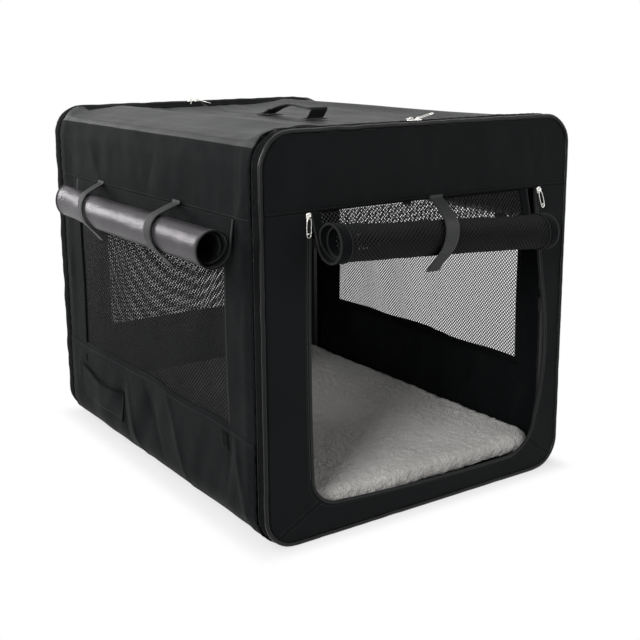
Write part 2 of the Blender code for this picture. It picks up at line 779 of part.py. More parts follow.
def make_frame(looks):
    """Rails, hoops and knuckles, hung on empties that stand on the joint axes."""
    pivots = {}
    steel = looks["steel"]
    for side, end in ((-1, "front"), (1, "rear")):
        y = side * HOOP_Y
        low_place, mid_place = (0, y, BAR_HEIGHT), (0, y + side * CAP_SHIFT, PIVOT_Z)
        low = empty(f"{end}_lower_pivot", low_place)
        mid = empty(f"{end}_upper_pivot", mid_place)
        hang(mid, low, low_place)
        pivots[end] = (low, low_place, mid, mid_place)
        post_end = CAP_CLEAR + CAP_LENGTH + TOUCH
        for half, z_bar, z_end, pivot, place in (
            ("lower", BAR_HEIGHT, PIVOT_Z - post_end, low, low_place),
            ("upper", TOP_BAR_Z, PIVOT_Z + post_end, mid, mid_place),
        ):
            points = [(x, y, z) for x, z in hoop_path(z_bar, z_end)]
            hoop = tube(f"{end}_{half}_hoop", points, TUBE_R, steel)
            move_origin(hoop, place)
            hang(hoop, pivot, place)
        for hand, x in (("left", -POST_X), ("right", POST_X)):
            at = (x, mid_place[1], PIVOT_Z)
            turn = Matrix.Rotation(math.pi, 4, "Z") if side > 0 else Matrix.Identity(4)
            flip = turn @ Matrix.Rotation(math.pi, 4, "Y")
            ears = ((-EAR_OUTER, -EAR_INNER), (EAR_INNER, EAR_OUTER))
            fork = make_knuckle(f"{end}_{hand}_fork", ears, turn, at, looks["joint"])
            hang(fork, low, low_place)
            pin = make_pin(f"{end}_{hand}_pin", at, looks["pin"])
            hang(pin, low, low_place)
            tongue = make_knuckle(f"{end}_{hand}_tongue", ((-TONGUE_HALF, TONGUE_HALF),),
                                  flip, at, looks["joint"])
            hang(tongue, mid, mid_place)
    for hand, x in (("left", -RAIL_X), ("right", RAIL_X)):
        make_rail(f"base_rail_{hand}", x, BAR_HEIGHT, steel)
        make_rail(f"top_rail_{hand}", x, TOP_BAR_Z, steel)
    return pivots


def make_handle(top, top_place, looks):
    """Webbing handle on two sewn tabs, free to flop to either side."""
    seat = faceted_height(0, HANDLE_HALF)
    axis_z = seat + SEWN + HANDLE_AXIS
    pivot_place = (0, 0, axis_z)
    pivot = empty("handle_pivot", pivot_place)
    hang(pivot, top, top_place)
    for side, end in ((-1, "front"), (1, "rear")):
        tab_y = side * HANDLE_HALF
        low = SEWN + max(
            faceted_height(x, HANDLE_HALF + y)
            for x in (0, ANCHOR_WIDTH / 2) for y in (-ANCHOR_LENGTH / 2, ANCHOR_LENGTH / 2)
        )
        patch = box(-ANCHOR_WIDTH / 2, ANCHOR_WIDTH / 2, tab_y - ANCHOR_LENGTH / 2,
                    tab_y + ANCHOR_LENGTH / 2, low, low + ANCHOR_PATCH)
        anchor = mesh_object(f"handle_anchor_{end}", patch, looks["strap"])
        tab = cutter(f"handle_tab_{end}",
                     box(-ANCHOR_WIDTH / 2 + 0.002, ANCHOR_WIDTH / 2 - 0.002,
                         tab_y - ANCHOR_TAB / 2, tab_y + ANCHOR_TAB / 2,
                         low + ANCHOR_PATCH / 2, low + ANCHOR_HEIGHT))
        combine(anchor, tab, "UNION")
        hole = cutter(f"handle_hole_{end}",
                      cylinder(HANDLE_HOLE, (0, tab_y, axis_z), "Y", 4 * ANCHOR_TAB, 12))
        combine(anchor, hole, "DIFFERENCE")
        hang(anchor, top, top_place)
    reach = HANDLE_HALF - ANCHOR_TAB / 2 - TOUCH - HANDLE_THICKNESS / 4
    steps = 12
    path = []
    for i in range(steps + 1):
        share = 2 * i / steps - 1
        path.append((share * reach, axis_z + HANDLE_RISE * (1 - share ** 4)))
    half = HANDLE_WIDTH / 2
    edges = [[(y, z, x) for y, z in path] for x in (-half, half)]
    band = ribbon("handle_strap", *edges, HANDLE_THICKNESS,
                  lambda out, z, along: Vector((along, out, z)), looks["strap"])
    for side, end in ((-1, "front"), (1, "rear")):
        stub_y = side * (HANDLE_HALF + ANCHOR_TAB / 2 + 0.001 - 0.0035)
        stub = cutter(f"handle_stub_{end}",
                      cylinder(HANDLE_STUB_R, (0, stub_y, axis_z), "Y", 0.0035, 12))
        combine(band, stub, "UNION")
    for thing in (band, bpy.data.objects["handle_stub_front"], bpy.data.objects["handle_stub_rear"]):
        move_origin(thing, pivot_place)
        hang(thing, pivot, pivot_place)


def slider_shape(name, look):
    """Slider body with a bridge. The zip runs along X, the surface faces +Z."""
    half = SLIDER_LENGTH / 2
    body = mesh_object(name, box(-half, half, -SLIDER_WIDTH / 2, SLIDER_WIDTH / 2, 0, SLIDER_BODY),
                       look)
    bridge = box(-BRIDGE_HALF, BRIDGE_HALF, -BRIDGE_WIDTH / 2, BRIDGE_WIDTH / 2,
                 SLIDER_BODY / 2, SLIDER_BODY + BRIDGE_HEIGHT)
    tunnel = box(-TUNNEL_HALF, TUNNEL_HALF, -SLIDER_WIDTH, SLIDER_WIDTH, SLIDER_BODY,
                 SLIDER_BODY + TUNNEL_TOP)
    guides = [cutter(f"{name}_bridge", bridge), cutter(f"{name}_tunnel", tunnel)]
    combine(body, guides[0], "UNION")
    combine(body, guides[1], "DIFFERENCE")
    return body, guides


def pull_shape(name, length, look):
    """A flat pull with a long hole. Its first bar is the hinge, under the bridge."""
    half = PULL_WIDTH / 2
    outline = [(-PULL_BAR / 2, -half), (length * 0.7, -half), (length * 0.92, -half * 0.75),
               (length, -half * 0.3), (length, half * 0.3), (length * 0.92, half * 0.75),
               (length * 0.7, half), (-PULL_BAR / 2, half)]
    plate = mesh_object(name, prism(outline, facing_up, -PULL_THICKNESS / 2, PULL_THICKNESS / 2),
                        look)
    inner = half - PULL_BAR
    hole = box(PULL_BAR / 2, length * 0.8, -inner, inner, -PULL_THICKNESS, PULL_THICKNESS)
    guide = cutter(f"{name}_hole", hole)
    combine(plate, guide, "DIFFERENCE")
    return plate, guide


def make_zip(name, place, frame, length, parent, parent_place, looks):
    """A slider and its pull. frame turns the zip's own axes into the world's."""
    body, guides = slider_shape(f"{name}_slider", looks["metal"])
    pull, hole = pull_shape(f"{name}_pull", length, looks["metal"])
    pin = Vector((0, 0, SLIDER_BODY + TUNNEL_TOP / 2))
    for thing in (body, *guides, pull, hole):
        thing.data.transform(frame)
    pin_place = Vector(place) + frame.to_3x3() @ pin
    for thing in (body, *guides):
        thing.location = place
        if parent:
            hang(thing, parent, parent_place)
    for thing in (pull, hole):
        thing.location = pin_place
        hang(thing, body, place)


def make_zips(top, top_place, looks):
    """Sliders that meet at the top of each end, and one on each side of the door."""
    seat = SKIN_TOP + SEWN
    for side, end in ((-1, "front"), (1, "rear")):
        for hand, name in ((-1, "left"), (1, "right")):
            frame = Matrix.Rotation(math.pi if hand < 0 else 0.0, 4, "Z")
            x = SLIDERS_MEET_X + hand * SLIDER_APART
            make_zip(f"{end}_{name}_zip", (x, side * (ZIP_Y - TOUCH / 2), seat), frame, TOP_PULL,
                     top, top_place, looks)
    down = Matrix(((0, 1, 0, 0), (0, 0, -1, 0), (-1, 0, 0, 0), (0, 0, 0, 1)))
    zip_z = HEADER_SEAM - DOOR_ZIP_BELOW
    for x, name in ((DOOR_LEFT - DOOR_ZIP_OUT, "left"), (DOOR_RIGHT + DOOR_ZIP_OUT, "right")):
        make_zip(f"door_{name}_zip", (x, -END_FACE - SEWN, zip_z), down, DOOR_PULL, None, None,
                 looks)


def main():
    clear_scene()
    looks = {
        "fabric": material("black_polyester", (0.018, 0.018, 0.019), 0.85),
        "top": material("black_polyester_top", (0.022, 0.023, 0.023), 0.8),
        "front": material("black_polyester_front", (0.016, 0.017, 0.019), 0.85),
        "piping": material("black_piping", (0.02, 0.02, 0.021), 0.35),
        "net": material("black_mesh", (0.012, 0.012, 0.012), 0.7),
        "door": material("black_door_mesh", (0.014, 0.014, 0.015), 0.7),
        "flap": material("coated_flap", (0.20, 0.19, 0.19), 0.35),
        "strap": material("black_webbing", (0.03, 0.03, 0.032), 0.7),
        "fleece": material("grey_fleece", (0.55, 0.55, 0.56), 0.95),
        "steel": material("coated_steel_tube", (0.03, 0.03, 0.03), 0.4, 0.6),
        "joint": material("moulded_knuckle", (0.02, 0.02, 0.02), 0.5),
        "pin": material("steel_pin", (0.6, 0.6, 0.6), 0.3, 1.0),
        "metal": material("nickel_zip", (0.72, 0.72, 0.70), 0.25, 1.0),
    }
    make_shell(looks)
    make_ends(looks)
    make_mat(looks["fleece"])
    make_door(looks)
    make_flaps(looks)
    make_pocket(looks["fabric"])
    pivots = make_frame(looks)
    _, _, upper, upper_place = pivots["front"]
    top_place = (0, -HOOP_Y, TOP_BAR_Z)
    top = empty("top_pivot", top_place)
    hang(top, upper, upper_place)
    for name in ("top_panel", "top_rail_left", "top_rail_right"):
        hang(bpy.data.objects[name], top, top_place)
    make_handle(top, top_place, looks)
    make_zips(top, top_place, looks)


main()
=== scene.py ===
"""Folding soft crate for a dog: the cloth, nets, zips and handle that go on its folding frame.

Laid out as an add-on. Each group of pieces has an operator of its own, and the sizes and colours
that a user would change are in two property groups. Metres, +Z up, front towards -Y.
"""

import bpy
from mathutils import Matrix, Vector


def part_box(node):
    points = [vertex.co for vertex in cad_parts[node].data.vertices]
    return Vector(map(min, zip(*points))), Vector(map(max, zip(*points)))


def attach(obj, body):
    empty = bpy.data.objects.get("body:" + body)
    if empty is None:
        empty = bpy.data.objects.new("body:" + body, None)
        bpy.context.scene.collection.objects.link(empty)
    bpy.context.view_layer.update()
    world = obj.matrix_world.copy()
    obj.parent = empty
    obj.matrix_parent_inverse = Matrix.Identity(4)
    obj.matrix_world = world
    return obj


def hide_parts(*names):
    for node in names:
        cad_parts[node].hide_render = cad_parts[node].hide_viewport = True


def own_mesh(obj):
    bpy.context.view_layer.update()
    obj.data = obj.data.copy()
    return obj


bl_info = {
    "name": "Folding Soft Dog Crate",
    "version": (1, 0, 0),
    "blender": (4, 5, 0),
    "location": "3D View > Sidebar > Crate",
    "description": "Builds a folding soft dog crate piece by piece on its frame",
    "category": "Object",
}

import math

import bmesh
import bpy
from mathutils import Matrix, Vector, noise

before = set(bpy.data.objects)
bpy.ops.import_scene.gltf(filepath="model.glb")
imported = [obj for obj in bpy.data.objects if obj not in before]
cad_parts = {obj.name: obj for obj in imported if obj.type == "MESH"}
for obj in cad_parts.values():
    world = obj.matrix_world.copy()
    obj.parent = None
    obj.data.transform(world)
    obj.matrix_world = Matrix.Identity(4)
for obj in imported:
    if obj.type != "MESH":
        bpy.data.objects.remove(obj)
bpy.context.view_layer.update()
LOW, HIGH = 0, 1

# Sizes read off the frame
WALL, GUSSET, PIPING, HEADER, END, RAIL, WINDOW, REAR_WINDOW = (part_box(name) for name in (
    "right_side_panel", "front_gusset", "front_piping", "front_header", "rear_panel",
    "base_rail_right", "left_window_net", "rear_window_net",
))
SKIN_X, BODY_END, SKIN_TOP = WALL[HIGH].x, WALL[HIGH].y, GUSSET[HIGH].z
RING_END, RING_HALF, RING_TOP = -PIPING[LOW].y, PIPING[HIGH].x, PIPING[HIGH].z
PIPE_R = (PIPING[HIGH].y - PIPING[LOW].y) / 2
END_FACE, HEADER_SEAM = -HEADER[LOW].y, HEADER[LOW].z
END_HALF, END_LOW, END_TOP = END[HIGH].x, END[LOW].z, END[HIGH].z
RAIL_X = (RAIL[LOW].x + RAIL[HIGH].x) / 2

# Sizes of the cloth on it
SKIN_CORNER = 0.0455  # radius of the box's long edges
END_CORNER = SKIN_CORNER - (SKIN_X - END_HALF)
HOOP_Y = 0.313  # middle of the end hoops' tubes
SIDE_SEAM = 0.431  # height of the seam that the flaps hang from
DOOR_LEFT, DOOR_RIGHT = -0.190, 0.2015
DOOR_BELLY = 0.025  # how far the slack right jamb bows out
DOOR_SILL, DOOR_SILL_RISE = 0.034, 0.010
DOOR_CORNER_LEFT, DOOR_CORNER_RIGHT = 0.043, 0.058
TOP_SAG = 0.0125  # of the top between its rails
SLOPE = 0.0086  # drop of the top from a rail to the seam outside it
SAG_END = HOOP_Y - 0.0095  # the hoops hold the top up from here on
POST_Y = 0.275  # from here on the posts stand close behind the walls
STRAP, STRAP_TAIL = 0.022, 0.028  # width of the ties, and length of their free ends
PROUD = 0.0003  # height of stitches over their cloth
SHORT = 0.0018  # the cloth ends this far before the zips

# The outline of the box, as lengths along it from the middle of the underside
FLAT = SKIN_X - SKIN_CORNER
QUARTER = SKIN_CORNER * math.pi / 2
UPRIGHT = SKIN_TOP - 2 * SKIN_CORNER
SIDE_START = FLAT + QUARTER / 6
SIDE_END = FLAT + QUARTER + UPRIGHT + QUARTER * 5 / 6
OUTLINE = 4 * FLAT + 4 * QUARTER + 2 * UPRIGHT
SHOULDER = FLAT + QUARTER + UPRIGHT + SKIN_CORNER * math.radians(40)


def linear(code):
    """A colour of six hex digits, turned from sRGB to linear."""
    parts = [int(code[i : i + 2], 16) / 255 for i in (0, 2, 4)]
    return tuple(p / 12.92 if p <= 0.04045 else ((p + 0.055) / 1.055) ** 2.4 for p in parts)


def size(name, description, default):
    return bpy.props.FloatProperty(
        name=name, description=description, default=default, min=0.0, max=0.05,
        subtype="DISTANCE", unit="LENGTH", precision=5,
    )


def colour(name, description, code):
    return bpy.props.FloatVectorProperty(
        name=name, description=description, default=linear(code), min=0.0, max=1.0,
        size=3, subtype="COLOR",
    )


class CrateSizes(bpy.types.PropertyGroup):
    """Sizes of the cloth, nets and sewing"""

    cloth: size("Cloth", "Thickness of the wall cloth", 0.0012)
    slack: size("Slack", "How far the wall cloth stands in and out of its plane", 0.0034)
    net_across: size("Net Holes Across", "Distance between net holes along a row", 0.0063)
    net_up: size("Net Holes Up", "Distance between net holes up and down", 0.0060)
    net_depth: size("Net Relief", "How far the net's yarn stands proud of its holes", 0.0014)
    yarn: bpy.props.FloatProperty(
        name="Net Yarn", description="Share of a hole's width that the yarn fills",
        default=0.36, min=0.1, max=0.8, subtype="FACTOR",
    )
    stitch_pitch: size("Stitch Pitch", "Distance from one stitch to the next", 0.0034)
    stitch_length: size("Stitch Length", "Length of thread that shows in a stitch", 0.0025)
    thread: size("Thread", "Thickness of the sewing thread", 0.0006)
    tooth_pitch: size("Zip Tooth Pitch", "Distance from one zip tooth to the next", 0.0021)
    binding: size("Binding Width", "Width of the tape folded over cut edges", 0.0046)
    tuft: size("Fleece Tuft", "Height of the fleece's tufts", 0.0015)


class CrateColours(bpy.types.PropertyGroup):
    """Colours of the crate's materials"""

    wall: colour("Walls", "Oxford cloth of the sides and the top", "0E1011")
    front: colour("Ends", "Stiffer cloth of the front and the back", "0D0F10")
    net: colour("Nets", "Coated yarn of the windows and the door", "0B0C0C")
    coating: colour("Flap Coating", "Silver coating of the side flaps", "5B585B")
    webbing: colour("Webbing", "Straps and handle", "1D1E20")
    fleece: colour("Fleece", "Pile of the mat", "DAD7D3")
    nickel: colour("Nickel", "Plating of the zip sliders", "E8E6E1")


# Materials


def add(tree, kind, links=None, **settings):
    """Adds a node with its settings. links gives a socket a value or another node's output."""
    made = tree.nodes.new(kind)
    for key, value in settings.items():
        setattr(made, key, value)
    for key, value in (links or {}).items():
        if isinstance(value, bpy.types.NodeSocket):
            tree.links.new(value, made.inputs[key])
        else:
            made.inputs[key].default_value = value
    return made


def pattern(tree, place, kind, *of):
    """A pattern between 0 and 1. noise: turns per metre, detail, stretch. weave: pitch of a
    plain weave in metres. ribs: pitch, direction, how uneven. curls: fleece, 3 mm across.
    product: two patterns."""
    if kind == "noise":
        scale, detail, stretch = (*of, (1.0, 1.0, 1.0))[:3]
        moved = add(tree, "ShaderNodeVectorMath", {0: place, 1: stretch}, operation="MULTIPLY")
        return add(tree, "ShaderNodeTexNoise", {
            "Vector": moved.outputs[0], "Scale": scale, "Detail": detail}).outputs["Fac"]
    if kind == "ribs":
        pitch, way, uneven = of
        turn = {"Y": 0.314, "DIAGONAL": 0.444}[way]  # distance of the bands at scale 1
        return add(tree, "ShaderNodeTexWave", {
            "Vector": place, "Scale": turn / pitch, "Distortion": uneven,
        }, wave_type="BANDS", bands_direction=way).outputs["Fac"]
    if kind == "curls":
        wander = add(tree, "ShaderNodeTexNoise", {"Vector": place, "Scale": 90.0, "Detail": 2.0})
        bent = add(tree, "ShaderNodeMix", {
            "Factor": 0.012, 4: place, 5: wander.outputs["Color"]}, data_type="VECTOR")
        cells = add(tree, "ShaderNodeTexVoronoi", {
            "Vector": bent.outputs[1], "Scale": 330.0, "Randomness": 1.0, "Smoothness": 0.6,
        }, feature="SMOOTH_F1")
        return add(tree, "ShaderNodeMath", {0: 1.0, 1: cells.outputs["Distance"]},
                   operation="SUBTRACT").outputs[0]
    if kind == "weave":
        turns = 2 * math.pi / of[0]
        scaled = add(tree, "ShaderNodeVectorMath", {0: place, 1: (turns, turns, 0.0)},
                     operation="MULTIPLY")
        waves = add(tree, "ShaderNodeVectorMath", {0: scaled.outputs[0]}, operation="SINE")
        a, b = add(tree, "ShaderNodeSeparateXYZ", {0: waves.outputs[0]}).outputs[:2]
    else:
        a, b = [pattern(tree, place, *each) for each in of]
    return add(tree, "ShaderNodeMath", {0: a, 1: b}, operation="MULTIPLY").outputs[0]


def make_look(name, base, tinted, bumps, rough=None, cloth=True, shades=(0.72, 1.35),
              **constants):
    """A Principled material. base is a user's colour or a code that the tinted pattern takes
    from the darker to the lighter shade. rough is a pattern with the roughness at its ends, and
    bumps has (pattern, depth in metres), the coarsest first. Cloth is read by its map in metres,
    other pieces by their place in space."""
    look = bpy.data.materials.new(name)
    look.use_nodes = True
    tree = look.node_tree
    shader = tree.nodes["Principled BSDF"]
    for key, value in constants.items():
        shader.inputs[key.replace("_", " ")].default_value = value
    place = (add(tree, "ShaderNodeUVMap", uv_map="cloth").outputs["UV"] if cloth
             else add(tree, "ShaderNodeTexCoord").outputs["Object"])

    def drawn(kind, *ends):
        """A pattern as it is, or its middle half spread between two values."""
        socket = pattern(tree, place, *kind)
        if not ends:
            return socket
        return add(tree, "ShaderNodeMapRange", {
            "Value": socket, "From Min": 0.25, "From Max": 0.75, "To Min": ends[0],
            "To Max": ends[1]}).outputs["Result"]

    picked = getattr(bpy.context.scene.crate_colours, base, None) or linear(base)
    dark, pale = [(*[min(1.0, c * share) for c in picked], 1.0) for share in shades]
    mixed = add(tree, "ShaderNodeMix", {"Factor": drawn(*tinted), 6: dark, 7: pale},
                data_type="RGBA")
    tree.links.new(mixed.outputs[2], shader.inputs["Base Color"])
    if rough:
        tree.links.new(drawn(*rough), shader.inputs["Roughness"])
    normal = {}
    for kind, depth in bumps:
        bump = add(tree, "ShaderNodeBump", {
            "Height": drawn(kind), "Distance": depth, "Strength": 1.0, **normal})
        normal = {"Normal": bump.outputs["Normal"]}
    tree.links.new(normal["Normal"], shader.inputs["Normal"])
    return look


SLUBS, BOARD = ("noise", 260, 2, (1.0, 0.12, 1.0)), ("noise", 300, 2)
CREASED, RIBBED, KNIT = ("noise", 30, 5, (0.35, 1.0, 1.0)), ("noise", 500, 2), ("noise", 420, 2)
PULLS, TAPE_GRAIN, YARN = ("noise", 120, 2, (1.0, 0.5, 1.0)), ("noise", 350, 2), ("noise", 220, 2)
TWIST, RUB, WORN = ("noise", 1500, 1), ("noise", 300, 2), ("noise", 420, 3)
FUZZ, PEEL, SPARK, CLOUDY = ("noise", 800, 3), ("noise", 480, 2), ("noise", 1400, 2), (
    "noise", 350, 3)
# LUMPS_AND_SHADE is the fleece's coarse lumps: their bump, and painted shade in their hollows.
LUMPS_AND_SHADE, CURLS = ("noise", 26, 4), ("curls",)
OXFORD = dict(
    base="wall", tinted=(SLUBS, 0.25, 0.75), Sheen_Weight=0.045, Sheen_Roughness=0.4,
    bumps=((("noise", 38, 3), 0.0012), (("weave", 0.0013), 0.00010), (SLUBS, 0.00015)),
)
DIPPED = dict(base="net", tinted=(YARN, 0.2, 0.8), rough=(YARN, 0.42, 0.58),
              bumps=((("noise", 900, 1), 0.00012),))
WEBBING = dict(
    base="webbing", tinted=(RIBBED, 0.1, 0.9), Sheen_Weight=0.12, Sheen_Roughness=0.4,
    bumps=((("ribs", 0.00144, "DIAGONAL", 0.4), 0.00022), (RIBBED, 0.00015)),
)
LOOKS = {
    # Oxford polyester, woven and backed with PVC: dull black with a low sheen, a basket weave
    # of about 0.6 mm, here 1.3 mm so that it shows, and faint slubs and dust.
    "oxford_polyester": dict(
        OXFORD, rough=(("noise", 14, 4), 0.64, 0.78), Specular_IOR_Level=0.036),
    # The same oxford drawn over the top, where its PVC shows as a satin gloss: it picks up the
    # pale room at a low angle, and its long wrinkles show as light and dark bands.
    "taut_oxford_polyester": dict(
        OXFORD, rough=(("noise", 14, 4), 0.42, 0.54), Specular_IOR_Level=0.21),
    # Oxford polyester over foam board, as on the two ends: the same weave drawn flat and
    # tight, a shade darker and bluer than the walls.
    "stiff_oxford_polyester": dict(
        base="front", tinted=(BOARD, 0.3, 0.7), rough=(("noise", 9, 3), 0.66, 0.80),
        bumps=((("noise", 16, 2), 0.0010), (("weave", 0.0013), 0.00008), (BOARD, 0.00008)),
        Sheen_Weight=0.04, Sheen_Roughness=0.5, Specular_IOR_Level=0.08),
    # Bias tape of coated nylon over a cord: smooth, with a narrow highlight along the ring and
    # small pulls across it where it was sewn round the corners.
    "coated_piping_tape": dict(
        base="0B0C0D", tinted=(PULLS, 0.2, 0.8), rough=(PULLS, 0.14, 0.24),
        bumps=((PULLS, 0.0005), (("weave", 0.0011), 0.00005)), Specular_IOR_Level=0.20),
    # Polyester yarn dipped in PVC and fused at its crossings, as in the windows: near black
    # with small soft glints on the proud side of each thread.
    "coated_net_yarn": dict(DIPPED, Specular_IOR_Level=0.11),
    # The same yarn with a thicker dip, as in the door: brighter glints, so that the net still
    # shows where it is rolled over itself.
    "coated_door_yarn": dict(DIPPED, Specular_IOR_Level=0.21),
    # Aluminium pigment coating on polyester, as on the inside of the flaps: a satin silver
    # with a brown cast, faint weave under it and fine creases from rolling.
    "silver_flap_coating": dict(
        base="coating", tinted=(("product", CREASED, KNIT), 0.1, 1.4), shades=(0.72, 1.2),
        rough=(CREASED, 0.24, 0.38), Metallic=0.62, Specular_IOR_Level=0.0,
        bumps=((CREASED, 0.0022), (("noise", 150, 3), 0.00030), (("weave", 0.0011), 0.00003))),
    # Polypropylene webbing, woven with a twill rib: dark grey, dry, with slanting ribs.
    "ribbed_webbing": dict(WEBBING, rough=(RIBBED, 0.50, 0.66), Specular_IOR_Level=0.22),
    # Nylon webbing of filament yarn, as in the door's tie: the same rib with a bluish satin
    # gloss where it turns over the roll.
    "satin_webbing": dict(WEBBING, rough=(RIBBED, 0.34, 0.46), Specular_IOR_Level=0.32),
    # Grosgrain tape of polyester, folded over the cut edges: black, finely ribbed across its
    # width, a touch glossier than the cloth.
    "grosgrain_binding": dict(
        base="121314", tinted=(TAPE_GRAIN, 0.1, 0.9), rough=(TAPE_GRAIN, 0.46, 0.6),
        bumps=((("ribs", 0.0007, "Y", 0.0), 0.00016), (TAPE_GRAIN, 0.00015)),
        Sheen_Weight=0.08, Sheen_Roughness=0.35, Specular_IOR_Level=0.2),
    # Bonded polyester thread: black, slightly shiny, twisted.
    "polyester_thread": dict(
        base="262728", tinted=(TWIST,), rough=(TWIST, 0.4, 0.6), bumps=((TWIST, 0.0001),),
        cloth=False, Specular_IOR_Level=0.4),
    # Nylon monofilament of a coil zip: glossy black loops.
    "nylon_zip_coil": dict(
        base="18191A", tinted=(RUB,), rough=(RUB, 0.26, 0.42), bumps=((RUB, 0.0001),),
        cloth=False, Specular_IOR_Level=0.5),
    # Sherpa fleece, brushed polyester pile in small curls: pale warm grey, soft edges that
    # glow against the light, curls about 3 mm across. Its colour is painted darker between the
    # curls and in the low parts of its lumps: painted shade in the hollows of the pile.
    "sherpa_fleece": dict(
        base="fleece", tinted=(("product", CURLS, LUMPS_AND_SHADE), 0.0, 1.6), shades=(0.78, 1.08),
        bumps=((LUMPS_AND_SHADE, 0.0020), (CURLS, 0.0016), (("noise", 900, 2), 0.0004)), cloth=False,
        Sheen_Weight=0.45, Sheen_Roughness=0.6, Specular_IOR_Level=0.1, Roughness=0.95),
    # Zinc casting, barrel tumbled and nickel plated: bright, slightly warm, with fine rubs.
    "nickel_plated_zinc": dict(
        base="nickel", tinted=(WORN, 0.35, 0.65), shades=(0.6624, 1.242),
        rough=(WORN, 0.16, 0.32), bumps=((WORN, 0.00012),), cloth=False, Metallic=1.0),
    # Loop side of hook and loop tape: matt black nylon fuzz.
    "loop_tape": dict(
        base="0C0C0D", tinted=(FUZZ,), bumps=((FUZZ, 0.0006),), Sheen_Weight=0.03,
        Sheen_Roughness=0.5, Specular_IOR_Level=0.05, Roughness=0.95),
    # Knitted polyester tape that faces the ring zips: deep black, matt, hardly any gloss.
    "knitted_zip_tape": dict(
        base="08090A", tinted=(KNIT, 0.1, 0.9), rough=(KNIT, 0.75, 0.9),
        bumps=((("weave", 0.0012), 0.00010), (KNIT, 0.0002)), Specular_IOR_Level=0.05),
    # Powder coat on steel tube: black, even, with the light orange peel of baked powder.
    "powder_coated_tube": dict(
        base="1D1D1E", tinted=(("noise", 25, 3), 0.3, 0.7), rough=(PEEL, 0.30, 0.42),
        bumps=((PEEL, 0.0002),), cloth=False, Specular_IOR_Level=0.5),
    # Glass filled nylon, injection moulded and spark textured: dull black knuckles.
    "moulded_nylon": dict(
        base="19191A", tinted=(("noise", 40, 3), 0.2, 0.8), rough=(SPARK, 0.48, 0.62),
        bumps=((SPARK, 0.00012),), cloth=False, Specular_IOR_Level=0.45),
    # Steel rivet, zinc plated: grey metal with a cloudy plating.
    "zinc_plated_steel": dict(
        base="9C9E9F", tinted=(CLOUDY, 0.3, 0.7), rough=(CLOUDY, 0.28, 0.45),
        bumps=((CLOUDY, 0.0001),), cloth=False, Metallic=1.0),
}


def look_of(name):
    """The material of that name, made the first time that it is asked for."""
    return bpy.data.materials.get(name) or make_look(name, **LOOKS[name])


# Shapes


def show(name, mesh, *looks):
    """Puts a mesh, or several joined, in the scene at the origin, with its materials."""
    mesh = merge(name, mesh) if isinstance(mesh, list) else mesh
    thing = bpy.data.objects.new(name, mesh)
    bpy.context.scene.collection.objects.link(thing)
    mesh.materials.clear()
    for each in looks:
        mesh.materials.append(look_of(each))
    mesh.shade_smooth()
    return thing


def steps(low, high, most, *between):
    """Values from low to high at most so far apart, with the ones between kept."""
    count = max(1, math.ceil((high - low) / most - 1e-6))
    values = [low + (high - low) * i / count for i in range(count + 1)]
    values = [v for v in values if all(abs(v - b) > most / 4 for b in between)]
    return sorted(values + [b for b in between if low - 1e-9 <= b <= high + 1e-9])


def sheet_mesh(name, us, vs, place, keep=None, flip=False, measure=lambda u, v: (u, v)):
    """Faces over lists of u and v. place(u, v) gives a point, and measure its cloth map."""
    across = len(us)
    cells = [
        (j * across + i, j * across + i + 1, (j + 1) * across + i + 1, (j + 1) * across + i)
        for j in range(len(vs) - 1) for i in range(across - 1)
        if keep is None or keep((us[i] + us[i + 1]) / 2, (vs[j] + vs[j + 1]) / 2)
    ]
    used = sorted({index for cell in cells for index in cell})
    new = {old: i for i, old in enumerate(used)}
    spots = [(us[i % across], vs[i // across]) for i in used]
    faces = [[new[i] for i in (cell[::-1] if flip else cell)] for cell in cells]
    mesh = bpy.data.meshes.new(name)
    mesh.from_pydata([place(*spot) for spot in spots], [], faces)
    flatten(mesh, [measure(*spot) for spot in spots])
    return mesh


def flatten(mesh, spots):
    """Gives a mesh its cloth map: one (u, v) in metres for each vertex."""
    layer = mesh.uv_layers.new(name="cloth")
    flat = [0.0] * (2 * len(mesh.loops))
    for i, loop in enumerate(mesh.loops):
        flat[2 * i], flat[2 * i + 1] = spots[loop.vertex_index]
    layer.data.foreach_set("uv", flat)


def thicken(thing, thickness, offset=-1.0, inside=0):
    """Gives a sheet its thickness. inside is how many materials further on its far side uses."""
    step = thing.modifiers.new("thickness", "SOLIDIFY")
    step.thickness = thickness
    step.offset = offset
    step.material_offset = inside
    return thing


def sweep_mesh(name, rail, section, closed=False):
    """A section swept along a rail of (point, axis a, axis b). The section is (a, b) pairs,
    anticlockwise as seen against the run of the rail."""
    bm = bmesh.new()
    rows = [[bm.verts.new(p + x * a + z * b) for a, b in section] for p, x, z in rail]
    layer = bm.loops.layers.uv.new("cloth")
    lengths = [0.0]
    for here, there in zip(rail, rail[1:] + rail[:1]):
        lengths.append(lengths[-1] + (there[0] - here[0]).length)
    girth = [0.0]
    for here, there in zip(section, section[1:] + section[:1]):
        girth.append(girth[-1] + math.dist(here, there))
    count = len(rail)
    for j in range(count if closed else count - 1):
        k = (j + 1) % count
        for i in range(len(section)):
            n = (i + 1) % len(section)
            face = bm.faces.new((rows[j][i], rows[j][n], rows[k][n], rows[k][i]))
            spots = ((girth[i], lengths[j]), (girth[i + 1], lengths[j]),
                     (girth[i + 1], lengths[j + 1]), (girth[i], lengths[j + 1]))
            for loop, spot in zip(face.loops, spots):
                loop[layer].uv = spot
    if not closed:
        for row in (rows[0], rows[-1]):
            face = bm.faces.new(row)
            for loop, spot in zip(face.loops, section):
                loop[layer].uv = spot
    bmesh.ops.recalc_face_normals(bm, faces=bm.faces)
    mesh = bpy.data.meshes.new(name)
    bm.to_mesh(mesh)
    bm.free()
    return mesh


def circle(radius, sides=10):
    turns = (2 * math.pi * i / sides for i in range(sides))
    return [(radius * math.cos(a), radius * math.sin(a)) for a in turns]


